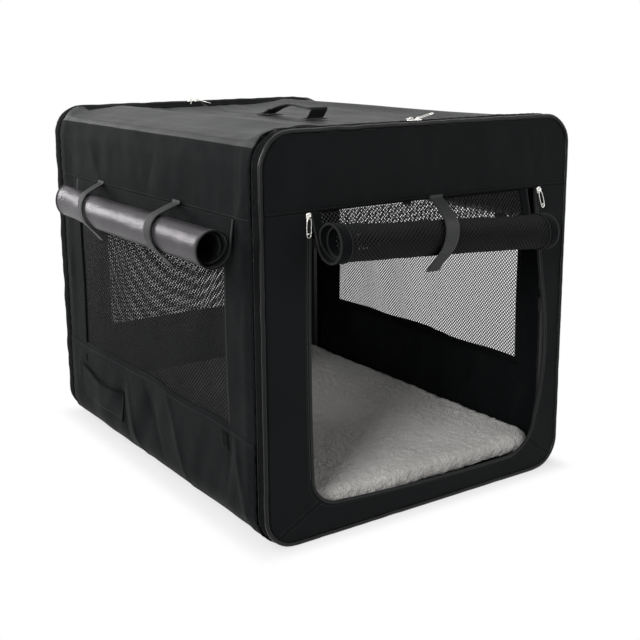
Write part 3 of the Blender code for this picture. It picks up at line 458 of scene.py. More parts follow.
def rounded_bar(width, height, bevel):
    """A rectangle with rounded corners, centred."""
    points = []
    for sx, sy, start in ((1, -1, -90), (1, 1, 0), (-1, 1, 90), (-1, -1, 180)):
        for turn in (0, 45, 90):
            angle = math.radians(start + turn)
            points.append((sx * (width / 2 - bevel) + bevel * math.cos(angle),
                           sy * (height / 2 - bevel) + bevel * math.sin(angle)))
    return points


def cord_rail(points):
    """Axes across an open path, for a section that is swept along it."""
    rail, side = [], Vector((0.0, 0.0, 1.0))
    for i, point in enumerate(points):
        run = (points[min(i + 1, len(points) - 1)] - points[max(i - 1, 0)]).normalized()
        side = side - run * side.dot(run)
        if side.length < 1e-4:
            side = run.orthogonal()
        side.normalize()
        rail.append((point, run.cross(side), side.copy()))
    return rail


def flat_rail(points, up, closed=False):
    """Axes across a path in a plane, whose second one is the way up from it."""
    rail, last = [], len(points) - 1
    for i, point in enumerate(points):
        before = points[i - 1 if i or closed else 0]
        after = points[i + 1 if i < last else 0 if closed else last]
        rail.append((point, (after - before).normalized().cross(up), up))
    return rail


def cord(line, radius, sides=8):
    """A round cord along a line of points."""
    return sweep_mesh("cord", cord_rail(line), circle(radius, sides))


def merge(name, meshes):
    """One mesh from several."""
    bm = bmesh.new()
    for each in meshes:
        bm.from_mesh(each)
    mesh = bpy.data.meshes.new(name)
    bm.to_mesh(mesh)
    bm.free()
    for each in meshes:
        bpy.data.meshes.remove(each)
    return mesh


def smooth(value, low, high):
    """0 below low, 1 above high, and eased between."""
    share = min(1.0, max(0.0, (value - low) / (high - low)))
    return share * share * (3 - 2 * share)


def soft(x, y, z=0.0):
    """Smooth noise, about -0.7 to 0.7."""
    return noise.noise(Vector((x, y, z)))


# Geometry node trees


def new_tree(name, inputs):
    """An empty geometry node tree with named inputs, given as (name, kind, default)."""
    tree = bpy.data.node_groups.new(name, "GeometryNodeTree")
    tree.interface.new_socket("Geometry", in_out="INPUT", socket_type="NodeSocketGeometry")
    for label, kind, default in inputs:
        socket = tree.interface.new_socket(label, in_out="INPUT", socket_type=kind)
        if default is not None:
            socket.default_value = default
    tree.interface.new_socket("Geometry", in_out="OUTPUT", socket_type="NodeSocketGeometry")
    return tree, add(tree, "NodeGroupInput").outputs


def row_tree():
    """Small rounded pieces in a row along a path: stitches and zip teeth."""
    found = bpy.data.node_groups.get("row_along_path")
    if found:
        return found
    tree, given = new_tree("row_along_path", [
        ("Pitch", "NodeSocketFloat", 0.003), ("Length", "NodeSocketFloat", 0.002),
        ("Width", "NodeSocketFloat", 0.0006), ("Height", "NodeSocketFloat", 0.0006),
        ("Across", "NodeSocketVector", (0.0, 1.0, 0.0)),
        ("Material", "NodeSocketMaterial", None),
    ])
    line = add(tree, "GeometryNodeMeshToCurve", {"Mesh": given["Geometry"]})
    spaced = add(tree, "GeometryNodeResampleCurve",
                 {"Curve": line.outputs[0], "Length": given["Pitch"]}, mode="LENGTH")
    bead = add(tree, "GeometryNodeMeshIcoSphere", {"Radius": 0.5, "Subdivisions": 1})
    run = add(tree, "GeometryNodeInputTangent")
    along = add(tree, "FunctionNodeAlignRotationToVector", {"Vector": run.outputs[0]}, axis="X")
    turned = add(tree, "FunctionNodeAlignRotationToVector",
                 {"Rotation": along.outputs[0], "Vector": given["Across"]},
                 axis="Y", pivot_axis="X")
    measure = add(tree, "ShaderNodeCombineXYZ",
                  {"X": given["Length"], "Y": given["Width"], "Z": given["Height"]})
    placed = add(tree, "GeometryNodeInstanceOnPoints", {
        "Points": spaced.outputs[0], "Instance": bead.outputs["Mesh"],
        "Rotation": turned.outputs[0], "Scale": measure.outputs[0],
    })
    real = add(tree, "GeometryNodeRealizeInstances", {"Geometry": placed.outputs[0]})
    dressed = add(tree, "GeometryNodeSetMaterial",
                  {"Geometry": real.outputs[0], "Material": given["Material"]})
    add(tree, "NodeGroupOutput", {"Geometry": dressed.outputs[0]})
    return tree


def net_tree():
    """A flat net of diamond holes, cut to a rectangle and centred on the origin."""
    found = bpy.data.node_groups.get("diamond_net")
    if found:
        return found
    tree, given = new_tree("diamond_net", [
        ("Side", "NodeSocketFloat", 0.5), ("Lines", "NodeSocketInt", 200),
        ("Stretch", "NodeSocketVector", (1.0, 1.0, 1.0)),
        ("Half Width", "NodeSocketFloat", 0.2), ("Half Height", "NodeSocketFloat", 0.1),
        ("Hole", "NodeSocketFloat", 0.64), ("Relief", "NodeSocketFloat", 0.0004),
        ("Material", "NodeSocketMaterial", None),
    ])
    squares = add(tree, "GeometryNodeMeshGrid", {
        "Size X": given["Side"], "Size Y": given["Side"],
        "Vertices X": given["Lines"], "Vertices Y": given["Lines"],
    })
    turned = add(tree, "GeometryNodeTransform", {
        "Geometry": squares.outputs["Mesh"], "Rotation": (0.0, 0.0, math.pi / 4),
    })
    stretched = add(tree, "GeometryNodeTransform",
                    {"Geometry": turned.outputs[0], "Scale": given["Stretch"]})
    spot = add(tree, "GeometryNodeInputPosition")
    parts = add(tree, "ShaderNodeSeparateXYZ", {0: spot.outputs[0]})
    outside = []
    for axis, limit in ((0, "Half Width"), (1, "Half Height")):
        far = add(tree, "ShaderNodeMath", {0: parts.outputs[axis]}, operation="ABSOLUTE")
        outside.append(add(tree, "FunctionNodeCompare", {0: far.outputs[0], 1: given[limit]},
                           data_type="FLOAT", operation="GREATER_THAN"))
    either = add(tree, "FunctionNodeBooleanMath",
                 {0: outside[0].outputs[0], 1: outside[1].outputs[0]}, operation="OR")
    cut = add(tree, "GeometryNodeDeleteGeometry",
              {"Geometry": stretched.outputs[0], "Selection": either.outputs[0]},
              domain="FACE")
    drawn = add(tree, "GeometryNodeExtrudeMesh",
                {"Mesh": cut.outputs[0], "Offset Scale": 0.0, "Individual": True}, mode="FACES")
    small = add(tree, "GeometryNodeScaleElements", {
        "Geometry": drawn.outputs["Mesh"], "Selection": drawn.outputs["Top"],
        "Scale": given["Hole"],
    }, domain="FACE")
    deep = add(tree, "ShaderNodeMath", {0: given["Relief"], 1: -1.0}, operation="MULTIPLY")
    down = add(tree, "ShaderNodeCombineXYZ", {"Z": deep.outputs[0]})
    sunk = add(tree, "GeometryNodeSetPosition", {
        "Geometry": small.outputs[0], "Selection": drawn.outputs["Top"],
        "Offset": down.outputs[0],
    })
    opened = add(tree, "GeometryNodeDeleteGeometry",
                 {"Geometry": sunk.outputs[0], "Selection": drawn.outputs["Top"]},
                 domain="FACE")
    real = add(tree, "GeometryNodeRealizeInstances", {"Geometry": opened.outputs[0]})
    dressed = add(tree, "GeometryNodeSetMaterial",
                  {"Geometry": real.outputs[0], "Material": given["Material"]})
    add(tree, "NodeGroupOutput", {"Geometry": dressed.outputs[0]})
    return tree


def grow(name, mesh, tree, **values):
    """Runs a node tree on a mesh and gives the plain mesh that comes out."""
    host = bpy.data.objects.new(name, mesh)
    bpy.context.scene.collection.objects.link(host)
    step = host.modifiers.new("tree", "NODES")
    step.node_group = tree
    for item in tree.interface.items_tree:
        if item.item_type == "SOCKET" and item.in_out == "INPUT":
            key = item.name.replace(" ", "_").lower()
            if key in values:
                step[item.identifier] = values[key]
    graph = bpy.context.evaluated_depsgraph_get()
    made = bpy.data.meshes.new_from_object(host.evaluated_get(graph))
    made.name = name
    host.modifiers.remove(step)
    bpy.data.objects.remove(host)
    bpy.data.meshes.remove(mesh)
    return made


def row(name, paths, length, width, height, pitch, across, look):
    """Pieces in a row along one or more paths of points, each (points, closed)."""
    points, edges = [], []
    for line, closed in paths:
        first = len(points)
        points += line
        edges += [(first + i, first + i + 1) for i in range(len(line) - 1)]
        if closed:
            edges.append((len(points) - 1, first))
    mesh = bpy.data.meshes.new(name)
    mesh.from_pydata(points, edges, [])
    made = grow(name, mesh, row_tree(), pitch=pitch, length=length, width=width,
                height=height, across=across, material=look_of(look))
    return show(name, made, look)


def stitches(name, lines, sizes):
    """Rows of stitches along lines of points."""
    return row(name, [(line, False) for line in lines], sizes.stitch_length, sizes.thread,
               sizes.thread, sizes.stitch_pitch, (0.0, 0.0, 1.0), "polyester_thread")


def teeth(name, paths, sizes, across):
    """Coil of a closed zip along paths of points."""
    return row(name, paths, sizes.tooth_pitch * 0.8, 0.0036, 0.0016, sizes.tooth_pitch,
               across, "nylon_zip_coil")


def net(name, width, height, sizes, place, look="coated_net_yarn"):
    """A net of that flat size. place(u, v, out) puts it on the crate, u and v from its middle."""
    cell = sizes.net_across / math.sqrt(2)
    ratio = sizes.net_up / sizes.net_across
    lines = math.ceil((width + height / ratio) / math.sqrt(2) / cell) + 4
    made = grow(
        name, bpy.data.meshes.new(name), net_tree(), side=(lines - 1) * cell, lines=lines,
        stretch=(1.0, ratio, 1.0), half_width=width / 2, half_height=height / 2,
        hole=1 - sizes.yarn, relief=sizes.net_depth, material=look_of(look),
    )
    spots = [(v.co.x, v.co.y) for v in made.vertices]
    for vertex in made.vertices:
        u, v, out = vertex.co
        vertex.co = place(u, v, out)
    for old in list(made.uv_layers):
        made.uv_layers.remove(old)
    flatten(made, spots)
    return show(name, made, look)


# Where the cloth lies


def around(t, out=0.0):
    """A point on the box's outline and the way out from it, t metres along it from the middle
    of the underside. t above 0 goes up the right side, and below 0 up the left."""
    hand = -1.0 if t < 0 else 1.0
    t = abs(t)
    if t <= FLAT:
        x, z, nx, nz = t, 0.0, 0.0, -1.0
    elif t <= FLAT + QUARTER:
        a = (t - FLAT) / SKIN_CORNER
        nx, nz = math.sin(a), -math.cos(a)
        x, z = FLAT + SKIN_CORNER * nx, SKIN_CORNER + SKIN_CORNER * nz
    elif t <= FLAT + QUARTER + UPRIGHT:
        x, z, nx, nz = SKIN_X, SKIN_CORNER + t - FLAT - QUARTER, 1.0, 0.0
    elif t <= FLAT + 2 * QUARTER + UPRIGHT:
        a = (t - FLAT - QUARTER - UPRIGHT) / SKIN_CORNER
        nx, nz = math.cos(a), math.sin(a)
        x, z = FLAT + SKIN_CORNER * nx, SKIN_TOP - SKIN_CORNER + SKIN_CORNER * nz
    else:
        x, z, nx, nz = 2 * FLAT + 2 * QUARTER + UPRIGHT - t, SKIN_TOP, 0.0, 1.0
    return Vector((hand * (x + out * nx), 0.0, z + out * nz)), Vector((hand * nx, 0.0, nz))


def t_of(z):
    """Length along the outline of a height on the straight part of a side."""
    return FLAT + QUARTER + z - SKIN_CORNER


# Creases of the left wall: (y, z) of both ends, half width and height
CREASES = (
    ((-0.262, 0.132), (-0.292, 0.030), 0.011, 0.0034),
    ((-0.250, 0.140), (-0.238, 0.050), 0.010, -0.0020),
    ((-0.060, 0.140), (-0.120, 0.020), 0.012, 0.0028),
    ((0.020, 0.142), (-0.040, 0.040), 0.013, -0.0024),
    ((0.085, 0.120), (0.040, 0.015), 0.012, 0.0030),
    ((0.110, 0.105), (0.075, 0.030), 0.009, -0.0022),
    ((-0.300, 0.470), (-0.262, 0.395), 0.010, 0.0024),
    ((-0.312, 0.430), (-0.285, 0.300), 0.009, -0.0016),
    ((0.292, 0.300), (0.305, 0.160), 0.008, 0.0018),
    ((0.190, 0.500), (0.150, 0.440), 0.016, 0.0018),
    ((-0.050, 0.505), (-0.020, 0.445), 0.018, -0.0016),
)


def crease(y, z):
    """Height of the drawn creases at a place on a wall."""
    total = 0.0
    for (y0, z0), (y1, z1), half, height in CREASES:
        dy, dz = y1 - y0, z1 - z0
        share = ((y - y0) * dy + (z - z0) * dz) / (dy * dy + dz * dz)
        held = min(1.0, max(0.0, share))
        away = math.hypot(y - y0 - held * dy, z - z0 - held * dz) / half
        if away < 3:
            total += 1.15 * height * math.exp(-1.5 * away) * (
                0.55 + 0.45 * math.sin(math.pi * held))
    return total


def pucker(run, away, size_at_seam=0.0009):
    """Fine gathers that die out away from a sewn zip; run is the length along the zip."""
    if away > 0.05:
        return 0.0
    wave = math.sin(2 * math.pi * run / 0.017 + 5 * soft(run / 0.05, 3.1))
    return size_at_seam * wave * math.exp(-away / 0.011)


def wall_shift(hand, y, z, slack):
    """How far the slack cloth of a side stands out at a place."""
    seed = 7.3 if hand > 0 else 0.0
    edge = BODY_END - abs(y)
    held = smooth(edge, 0.0, 0.045)
    shift = slack * (
        0.75 * soft(y / 0.17 + seed, z / 0.16, 1.7) + 0.45 * soft(y / 0.06, z / 0.13 + seed, 4.2)
    )
    low = smooth(0.150 - z, 0.0, 0.06) * smooth(z, 0.015, 0.05)
    shift += 1.1 * slack * low * soft((y + 0.35 * z) / 0.038 + seed, z / 0.13, 2.5)
    high = smooth(z, 0.435, 0.46) * smooth(0.52 - z, 0.0, 0.03)
    shift += 0.5 * slack * high * soft(y / 0.035 + seed, z / 0.09, 6.6)
    if hand < 0:
        shift += crease(y, z)
    bulge = 0.0024 * math.exp(-(((edge - 0.020) / 0.012) ** 2))
    shift = shift * held + bulge * (0.7 + 0.6 * soft(z / 0.06 + seed, 2.0)) + pucker(z + seed, edge)
    if abs(y) > POST_Y:
        shift = max(shift, -0.0004)
    return max(shift, -0.0045)


def seam_step(value, seam, height=0.0007):
    """The upper cloth laps over the lower one at a seam."""
    return height * smooth(value, seam - 0.0007, seam + 0.0007)


def shoulder(y, t):
    """The cloth slopes straight from the rail to the seam along the top corner and bends down
    there. Only at the rings does it follow their round."""
    bend = min(max((abs(t) - FLAT - QUARTER - UPRIGHT) / SKIN_CORNER, 0.0), math.pi / 2)
    over = (SKIN_CORNER - SLOPE) / (math.sin(bend) + 0.18 * math.cos(bend))
    beside = SKIN_CORNER / (math.cos(bend) + 0.16 * math.sin(bend))
    round_in = 0.0011
    both = -round_in * math.log(math.exp(-over / round_in) + math.exp(-beside / round_in))
    return (both - SKIN_CORNER) * sagging(y)


def sagging(y):
    """1 along the crate, easing to 0 at the rings, which hold the cloth up."""
    return max(0.0, 1 - abs(y / SAG_END) ** 12)


def wall_point(hand, y, t, slack, out=0.0):
    """A point of a side wall, t along the outline."""
    middle, way = around(hand * t)
    z = middle.z
    out += shoulder(y, t)
    shift = wall_shift(hand, y, z, slack) * smooth(z, 0.0, 0.02) * smooth(SKIN_TOP - z, 0.0, 0.01)
    return Vector((middle.x, y, middle.z)) + way * (shift + out)


def sill(y):
    """The lower edge of a side window dips and rises where the cloth is slack."""
    return WINDOW[LOW].z + 0.004 + 0.006 * soft(y / 0.12 + 2.2, 0.4) - 0.004 * smooth(
        -y, 0.05, 0.24)


def wall_t(y, t, lowest):
    """Moves the rows of a wall near the window sill so that the sill's edge is wavy."""
    away = abs(t - lowest)
    return t + (sill(y) - WINDOW[LOW].z) * smooth(0.035 - away, 0.0, 0.035)


def top_height(x, y):
    """Height of the top cloth: it sags between the rails and is drawn into long wrinkles."""
    across = max(0.0, 1 - abs(x / (RAIL_X - 0.0105)) ** 5)
    beyond = max(0.0, abs(x) - RAIL_X) / (FLAT - RAIL_X)
    sag = (TOP_SAG * across + SLOPE * min(1.0, beyond)) * sagging(y)
    free = smooth(BODY_END - abs(y), 0.0, 0.05)
    ripple = 0.0028 * soft(x / 0.022, y / 0.42, 8.0) + 0.0017 * soft(x / 0.06, y / 0.16, 3.3)
    ripple += 0.0011 * soft(x / 0.009, y / 0.5, 5.1)
    ripple *= free * smooth(FLAT - abs(x), -0.02, 0.06)
    gather = pucker(x + 0.4, BODY_END - abs(y), 0.0007)
    ridge = 0.0014 * math.exp(-((x / 0.0018) ** 2))
    return SKIN_TOP - sag + ripple + gather + ridge * (1 if abs(y) > 0.07 else 0)


# Joining the crate


def rides(piece, body, slot, *nodes):
    """The piece stands for these CAD nodes, which it hides, and rides their body. slot is not used.
    """
    if nodes:
        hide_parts(*nodes)
    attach(piece, body)
    return piece


def crumples(piece, slot, *nodes, body="base"):
    """As rides, and gives the piece a mesh of its own."""
    rides(piece, body, slot, *nodes)
    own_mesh(piece)
    return piece


# Operators


class CRATE_OT_walls(bpy.types.Operator):
    """Bottom and side walls, with the openings of the windows"""

    bl_idname = "crate.walls"
    bl_label = "Walls and Bottom"

    def execute(self, context):
        sizes = context.scene.crate_sizes
        for hand, side in ((-1, "left"), (1, "right")):
            self.side(hand, side, sizes)
        bottom = show("floor_cloth", sheet_mesh(
            "floor_cloth", steps(-BODY_END, BODY_END, 0.02), steps(-SIDE_START, SIDE_START, 0.012),
            lambda u, v: around(v, -0.0001)[0] + Vector((0, u, 0)),
        ), "oxford_polyester")
        thicken(bottom, sizes.cloth)
        rides(bottom, "base", "black_polyester", "bottom_panel")
        return {"FINISHED"}

    def side(self, hand, side, sizes):
        lowest, highest = t_of(WINDOW[LOW].z), t_of(WINDOW[HIGH].z)
        seam = t_of(SIDE_SEAM)
        ys = steps(-BODY_END + SHORT, BODY_END - SHORT, 0.005, WINDOW[LOW].y, WINDOW[HIGH].y)
        ts = steps(SIDE_START, SIDE_END, 0.005, lowest, highest, seam - 0.0008, seam + 0.0008,
                   lowest - 0.0068, lowest - 0.0052, SHOULDER - 0.0008, SHOULDER + 0.0008)

        def place(y, t):
            moved = wall_t(y, t, lowest)
            step = seam_step(t, seam) + 0.0013 * smooth(lowest - 0.0052 - t, -0.0007, 0.0007)
            step += seam_step(t, SHOULDER, 0.0010)
            return wall_point(hand, y, moved, sizes.slack, step)

        def keep(y, t):
            return not (WINDOW[LOW].y < y < WINDOW[HIGH].y and lowest < t < highest)

        mesh = sheet_mesh(f"{side}_wall", ys, ts, place, keep, hand < 0)
        wall = show(f"{side}_wall", mesh, "oxford_polyester", "taut_oxford_polyester")
        for face in mesh.polygons:
            on_top = mesh.uv_layers["cloth"].data[face.loop_start].uv[1] > SHOULDER - 0.002
            face.material_index = int(on_top)
        thicken(wall, sizes.cloth)
        crumples(wall, "black_polyester", f"{side}_side_panel")
        folds = []
        for face in (-1, 1):
            line = []
            for t in steps(SIDE_START + 0.01, SIDE_END - 0.01, 0.004):
                wave = 0.0011 + 0.0016 * soft(t / 0.032 + hand, 4.0 * face)
                point = place(face * (BODY_END - SHORT), t)
                line.append(point + Vector((hand * PROUD, face * wave, 0)))
            folds.append(cord(line, 0.0011))
        crumples(show(f"{side}_wall_edge_folds", folds, "oxford_polyester"), "black_polyester")

        def sewn(y, t):
            return place(y, t) + Vector((hand * PROUD, 0, 0))

        level = [[sewn(y, t) for y in steps(-0.308, 0.308, 0.005)]
                 for t in (seam + 0.0030, lowest - 0.0085, SHOULDER + 0.0030)]
        upright = [[sewn(y, t) for t in steps(lowest - 0.004, highest + 0.004, 0.006)]
                   for y in (WINDOW[LOW].y - 0.0035, WINDOW[HIGH].y + 0.0035)]
        crumples(stitches(f"{side}_wall_stitches", level + upright, sizes), "black_polyester")


class CRATE_OT_top(bpy.types.Operator):
    """Top cloth, sagging between the rails"""

    bl_idname = "crate.top"
    bl_label = "Top"

    def execute(self, context):
        sizes = context.scene.crate_sizes
        length = OUTLINE / 2 - SIDE_END

        def place(y, t):
            hand = 1 if t >= 0 else -1
            middle, way = around(hand * (OUTLINE / 2 - abs(t)))
            if abs(middle.x) <= FLAT:
                return Vector((middle.x, y, top_height(middle.x, y)))
            out = shoulder(y, OUTLINE / 2 - abs(t)) + 0.0010 * smooth(abs(t), FLAT, length)
            ripple = top_height(FLAT, y) - SKIN_TOP + SLOPE * sagging(y)
            return Vector((middle.x, y, middle.z)) + way * (ripple + out)

        top = show("top_cloth", sheet_mesh(
            "top_cloth", steps(-BODY_END + SHORT, BODY_END - SHORT, 0.006),
            steps(-length, length, 0.005, -0.0030, -0.0015, 0.0, 0.0015, 0.0030), place,
            flip=True,
        ), "taut_oxford_polyester")
        thicken(top, sizes.cloth)
        rides(top, "top", "black_polyester_top", "top_panel")
        lines = [
            [place(y, x) + Vector((0, 0, PROUD)) for y in steps(low, high, 0.006)]
            for x in (-0.0035, 0.0035) for low, high in ((-0.305, -0.082), (0.082, 0.305))
        ]
        rides(stitches("top_stitches", lines, sizes), "top", "black_polyester_top")
        # A black tape faces the zip on the top's side of both rings.
        bands = []
        for face in (-1, 1):
            def tape(x, y, face=face):
                return Vector((x, face * y, top_height(x, face * y) + 0.0007))

            bands.append(sheet_mesh("tape", steps(-FLAT - 0.004, FLAT + 0.004, 0.006),
                                    steps(0.2855, BODY_END - 0.002, 0.003), tape, flip=face < 0))
        facing = show("top_zip_facings", bands, "knitted_zip_tape")
        rides(thicken(facing, 0.0008), "top", "black_polyester_top")
        return {"FINISHED"}


class CRATE_OT_rings(bpy.types.Operator):
    """Gussets, zips and piping round both ends"""

    bl_idname = "crate.rings"
    bl_label = "Rings, Zips and Piping"

    def execute(self, context):
        sizes = context.scene.crate_sizes
        for face, end in ((-1, "front"), (1, "rear")):
            self.gusset(face, end, sizes)
            self.piping(face, end)
            ring = [around(t, -0.0010)[0] + Vector((0, face * (BODY_END + 0.0004), 0))
                    for t in self.turns(0.006)]
            crumples(teeth(f"{end}_ring_zip", [(ring, True)], sizes, (0.0, 1.0, 0.0)),
                     "black_polyester")
        return {"FINISHED"}

    def turns(self, most):
        values = steps(-OUTLINE / 2, OUTLINE / 2, most)
        return values[:-1]

    def gusset(self, face, end, sizes):
        low, high = BODY_END + 0.0024, RING_END - 2 * PIPE_R + 0.0012
        ts = self.turns(0.0045)
        ys = [low, low + 0.0010, low + 0.003, low + 0.006, low + 0.009, high - 0.001, high]

        def place(t, y):
            out = pucker(t, (y - low) * 0.8, 0.0008) + 0.0007 * math.sin(
                math.pi * (y - low) / (high - low))
            # The edge beside the zip is rolled under.
            out -= 0.0010 * smooth(low + 0.0012 - y, 0.0, 0.0012)
            out += 0.0006 * soft(t / 0.035, y / 0.02, face)
            middle, way = around(t)
            if middle.z < 0.01:
                out = min(out, 0.0)
            return Vector((middle.x, face * y, middle.z)) + way * out

        ring = ts + [OUTLINE / 2]
        mesh = sheet_mesh(f"{end}_ring_cloth", ring, ys, place, flip=face > 0)
        piece = thicken(show(f"{end}_ring_cloth", mesh, "knitted_zip_tape"), sizes.cloth)
        crumples(piece, "black_polyester", f"{end}_gusset")

        # The zip's tape lies just under the cloth on both sides of its teeth.
        def tape(t, y):
            middle, way = around(t, -0.0016)
            return Vector((middle.x, face * y, middle.z))

        band = sheet_mesh(f"{end}_zip_tape", ring, steps(BODY_END - 0.006, low + 0.006, 0.004),
                          tape, flip=face > 0)
        crumples(show(f"{end}_zip_tape", band, "knitted_zip_tape"), "black_polyester")

    def piping(self, face, end):
        half, top = RING_HALF - PIPE_R, RING_TOP - PIPE_R
        corner = SKIN_CORNER + RING_HALF - SKIN_X - PIPE_R
        points = []
        spots = ((half - corner, PIPE_R + corner, -90), (half - corner, top - corner, 0),
                 (-half + corner, top - corner, 90), (-half + corner, PIPE_R + corner, 180))
        for index, (cx, cz, start) in enumerate(spots):
            for i in range(11):
                a = math.radians(start + 9 * i)
                points.append(Vector((cx + corner * math.cos(a), 0, cz + corner * math.sin(a))))
            nx, nz, following = spots[(index + 1) % 4]
            a = math.radians(following)
            there = Vector((nx + corner * math.cos(a), 0, nz + corner * math.sin(a)))
            here = points[-1]
            count = round((there - here).length / 0.006)
            points += [here.lerp(there, i / count) for i in range(1, count)]
        rail, length = [], 0.0
        for i, point in enumerate(points):
            before, after = points[i - 1], points[(i + 1) % len(points)]
            length += (point - before).length
            run = (after - before).normalized()
            out = Vector((0, 1, 0)).cross(run)
            wave = 0.0010 * soft(length / 0.028, 2.0 * face) + 0.0003 * soft(length / 0.009, face)
            wave *= 1.7 if face > 0 and abs(out.x) > 0.9 else 1.0
            if point.z < 0.012:
                wave = min(wave, 0.0)
            spot = Vector((point.x, face * (RING_END - PIPE_R), point.z)) + out * wave
            rail.append((spot, out, Vector((0, 1, 0))))
        core = sweep_mesh(f"{end}_piping_cord", rail, circle(PIPE_R - 0.0002, 14), closed=True)
        # The tape's flat edge runs in to the panel and back to the gusset.
        rail = [(p - out * (PIPE_R + 0.0006) - Vector((0, face * 0.0008, 0)), out, way)
                for p, out, way in rail]
        edge = sweep_mesh(f"{end}_piping_edge", rail, rounded_bar(0.0052, 0.0016, 0.0007),
                          closed=True)
        piece = show(f"{end}_edge_piping", [core, edge], "coated_piping_tape")
        crumples(piece, "black_piping", f"{end}_piping")


def end_half(z):
    """Half width of an end panel at a height, inside the piping."""
    depth = min(z - END_LOW, END_TOP - z)
    if depth >= END_CORNER:
        return END_HALF
    gap = END_CORNER - max(0.0, depth)
    return END_HALF - END_CORNER + math.sqrt(max(0.0, END_CORNER ** 2 - gap ** 2))


def end_swell(x, z, face):
    """An end panel is board under cloth: almost flat, with slow waves."""
    return 0.0014 * soft(x / 0.16 + 4 * face, z / 0.19, 9.1) + 0.0005 * soft(
        x / 0.04, z / 0.06, 1.0 + face)


def corner_rows(low, high, most, *between):
    """Heights for an end panel, closer together in its rounded corners."""
    rows = set(steps(low, high, most, *between))
    for i in range(8):
        angle = math.radians(90 * i / 8)
        for z in (END_LOW + END_CORNER * (1 - math.cos(angle)),
                  END_TOP - END_CORNER * (1 - math.cos(angle))):
            if low < z < high:
                rows.add(z)
    kept = []
    for z in sorted(rows):
        if not kept or z - kept[-1] > 0.0004:
            kept.append(z)
    kept[-1] = high
    return kept


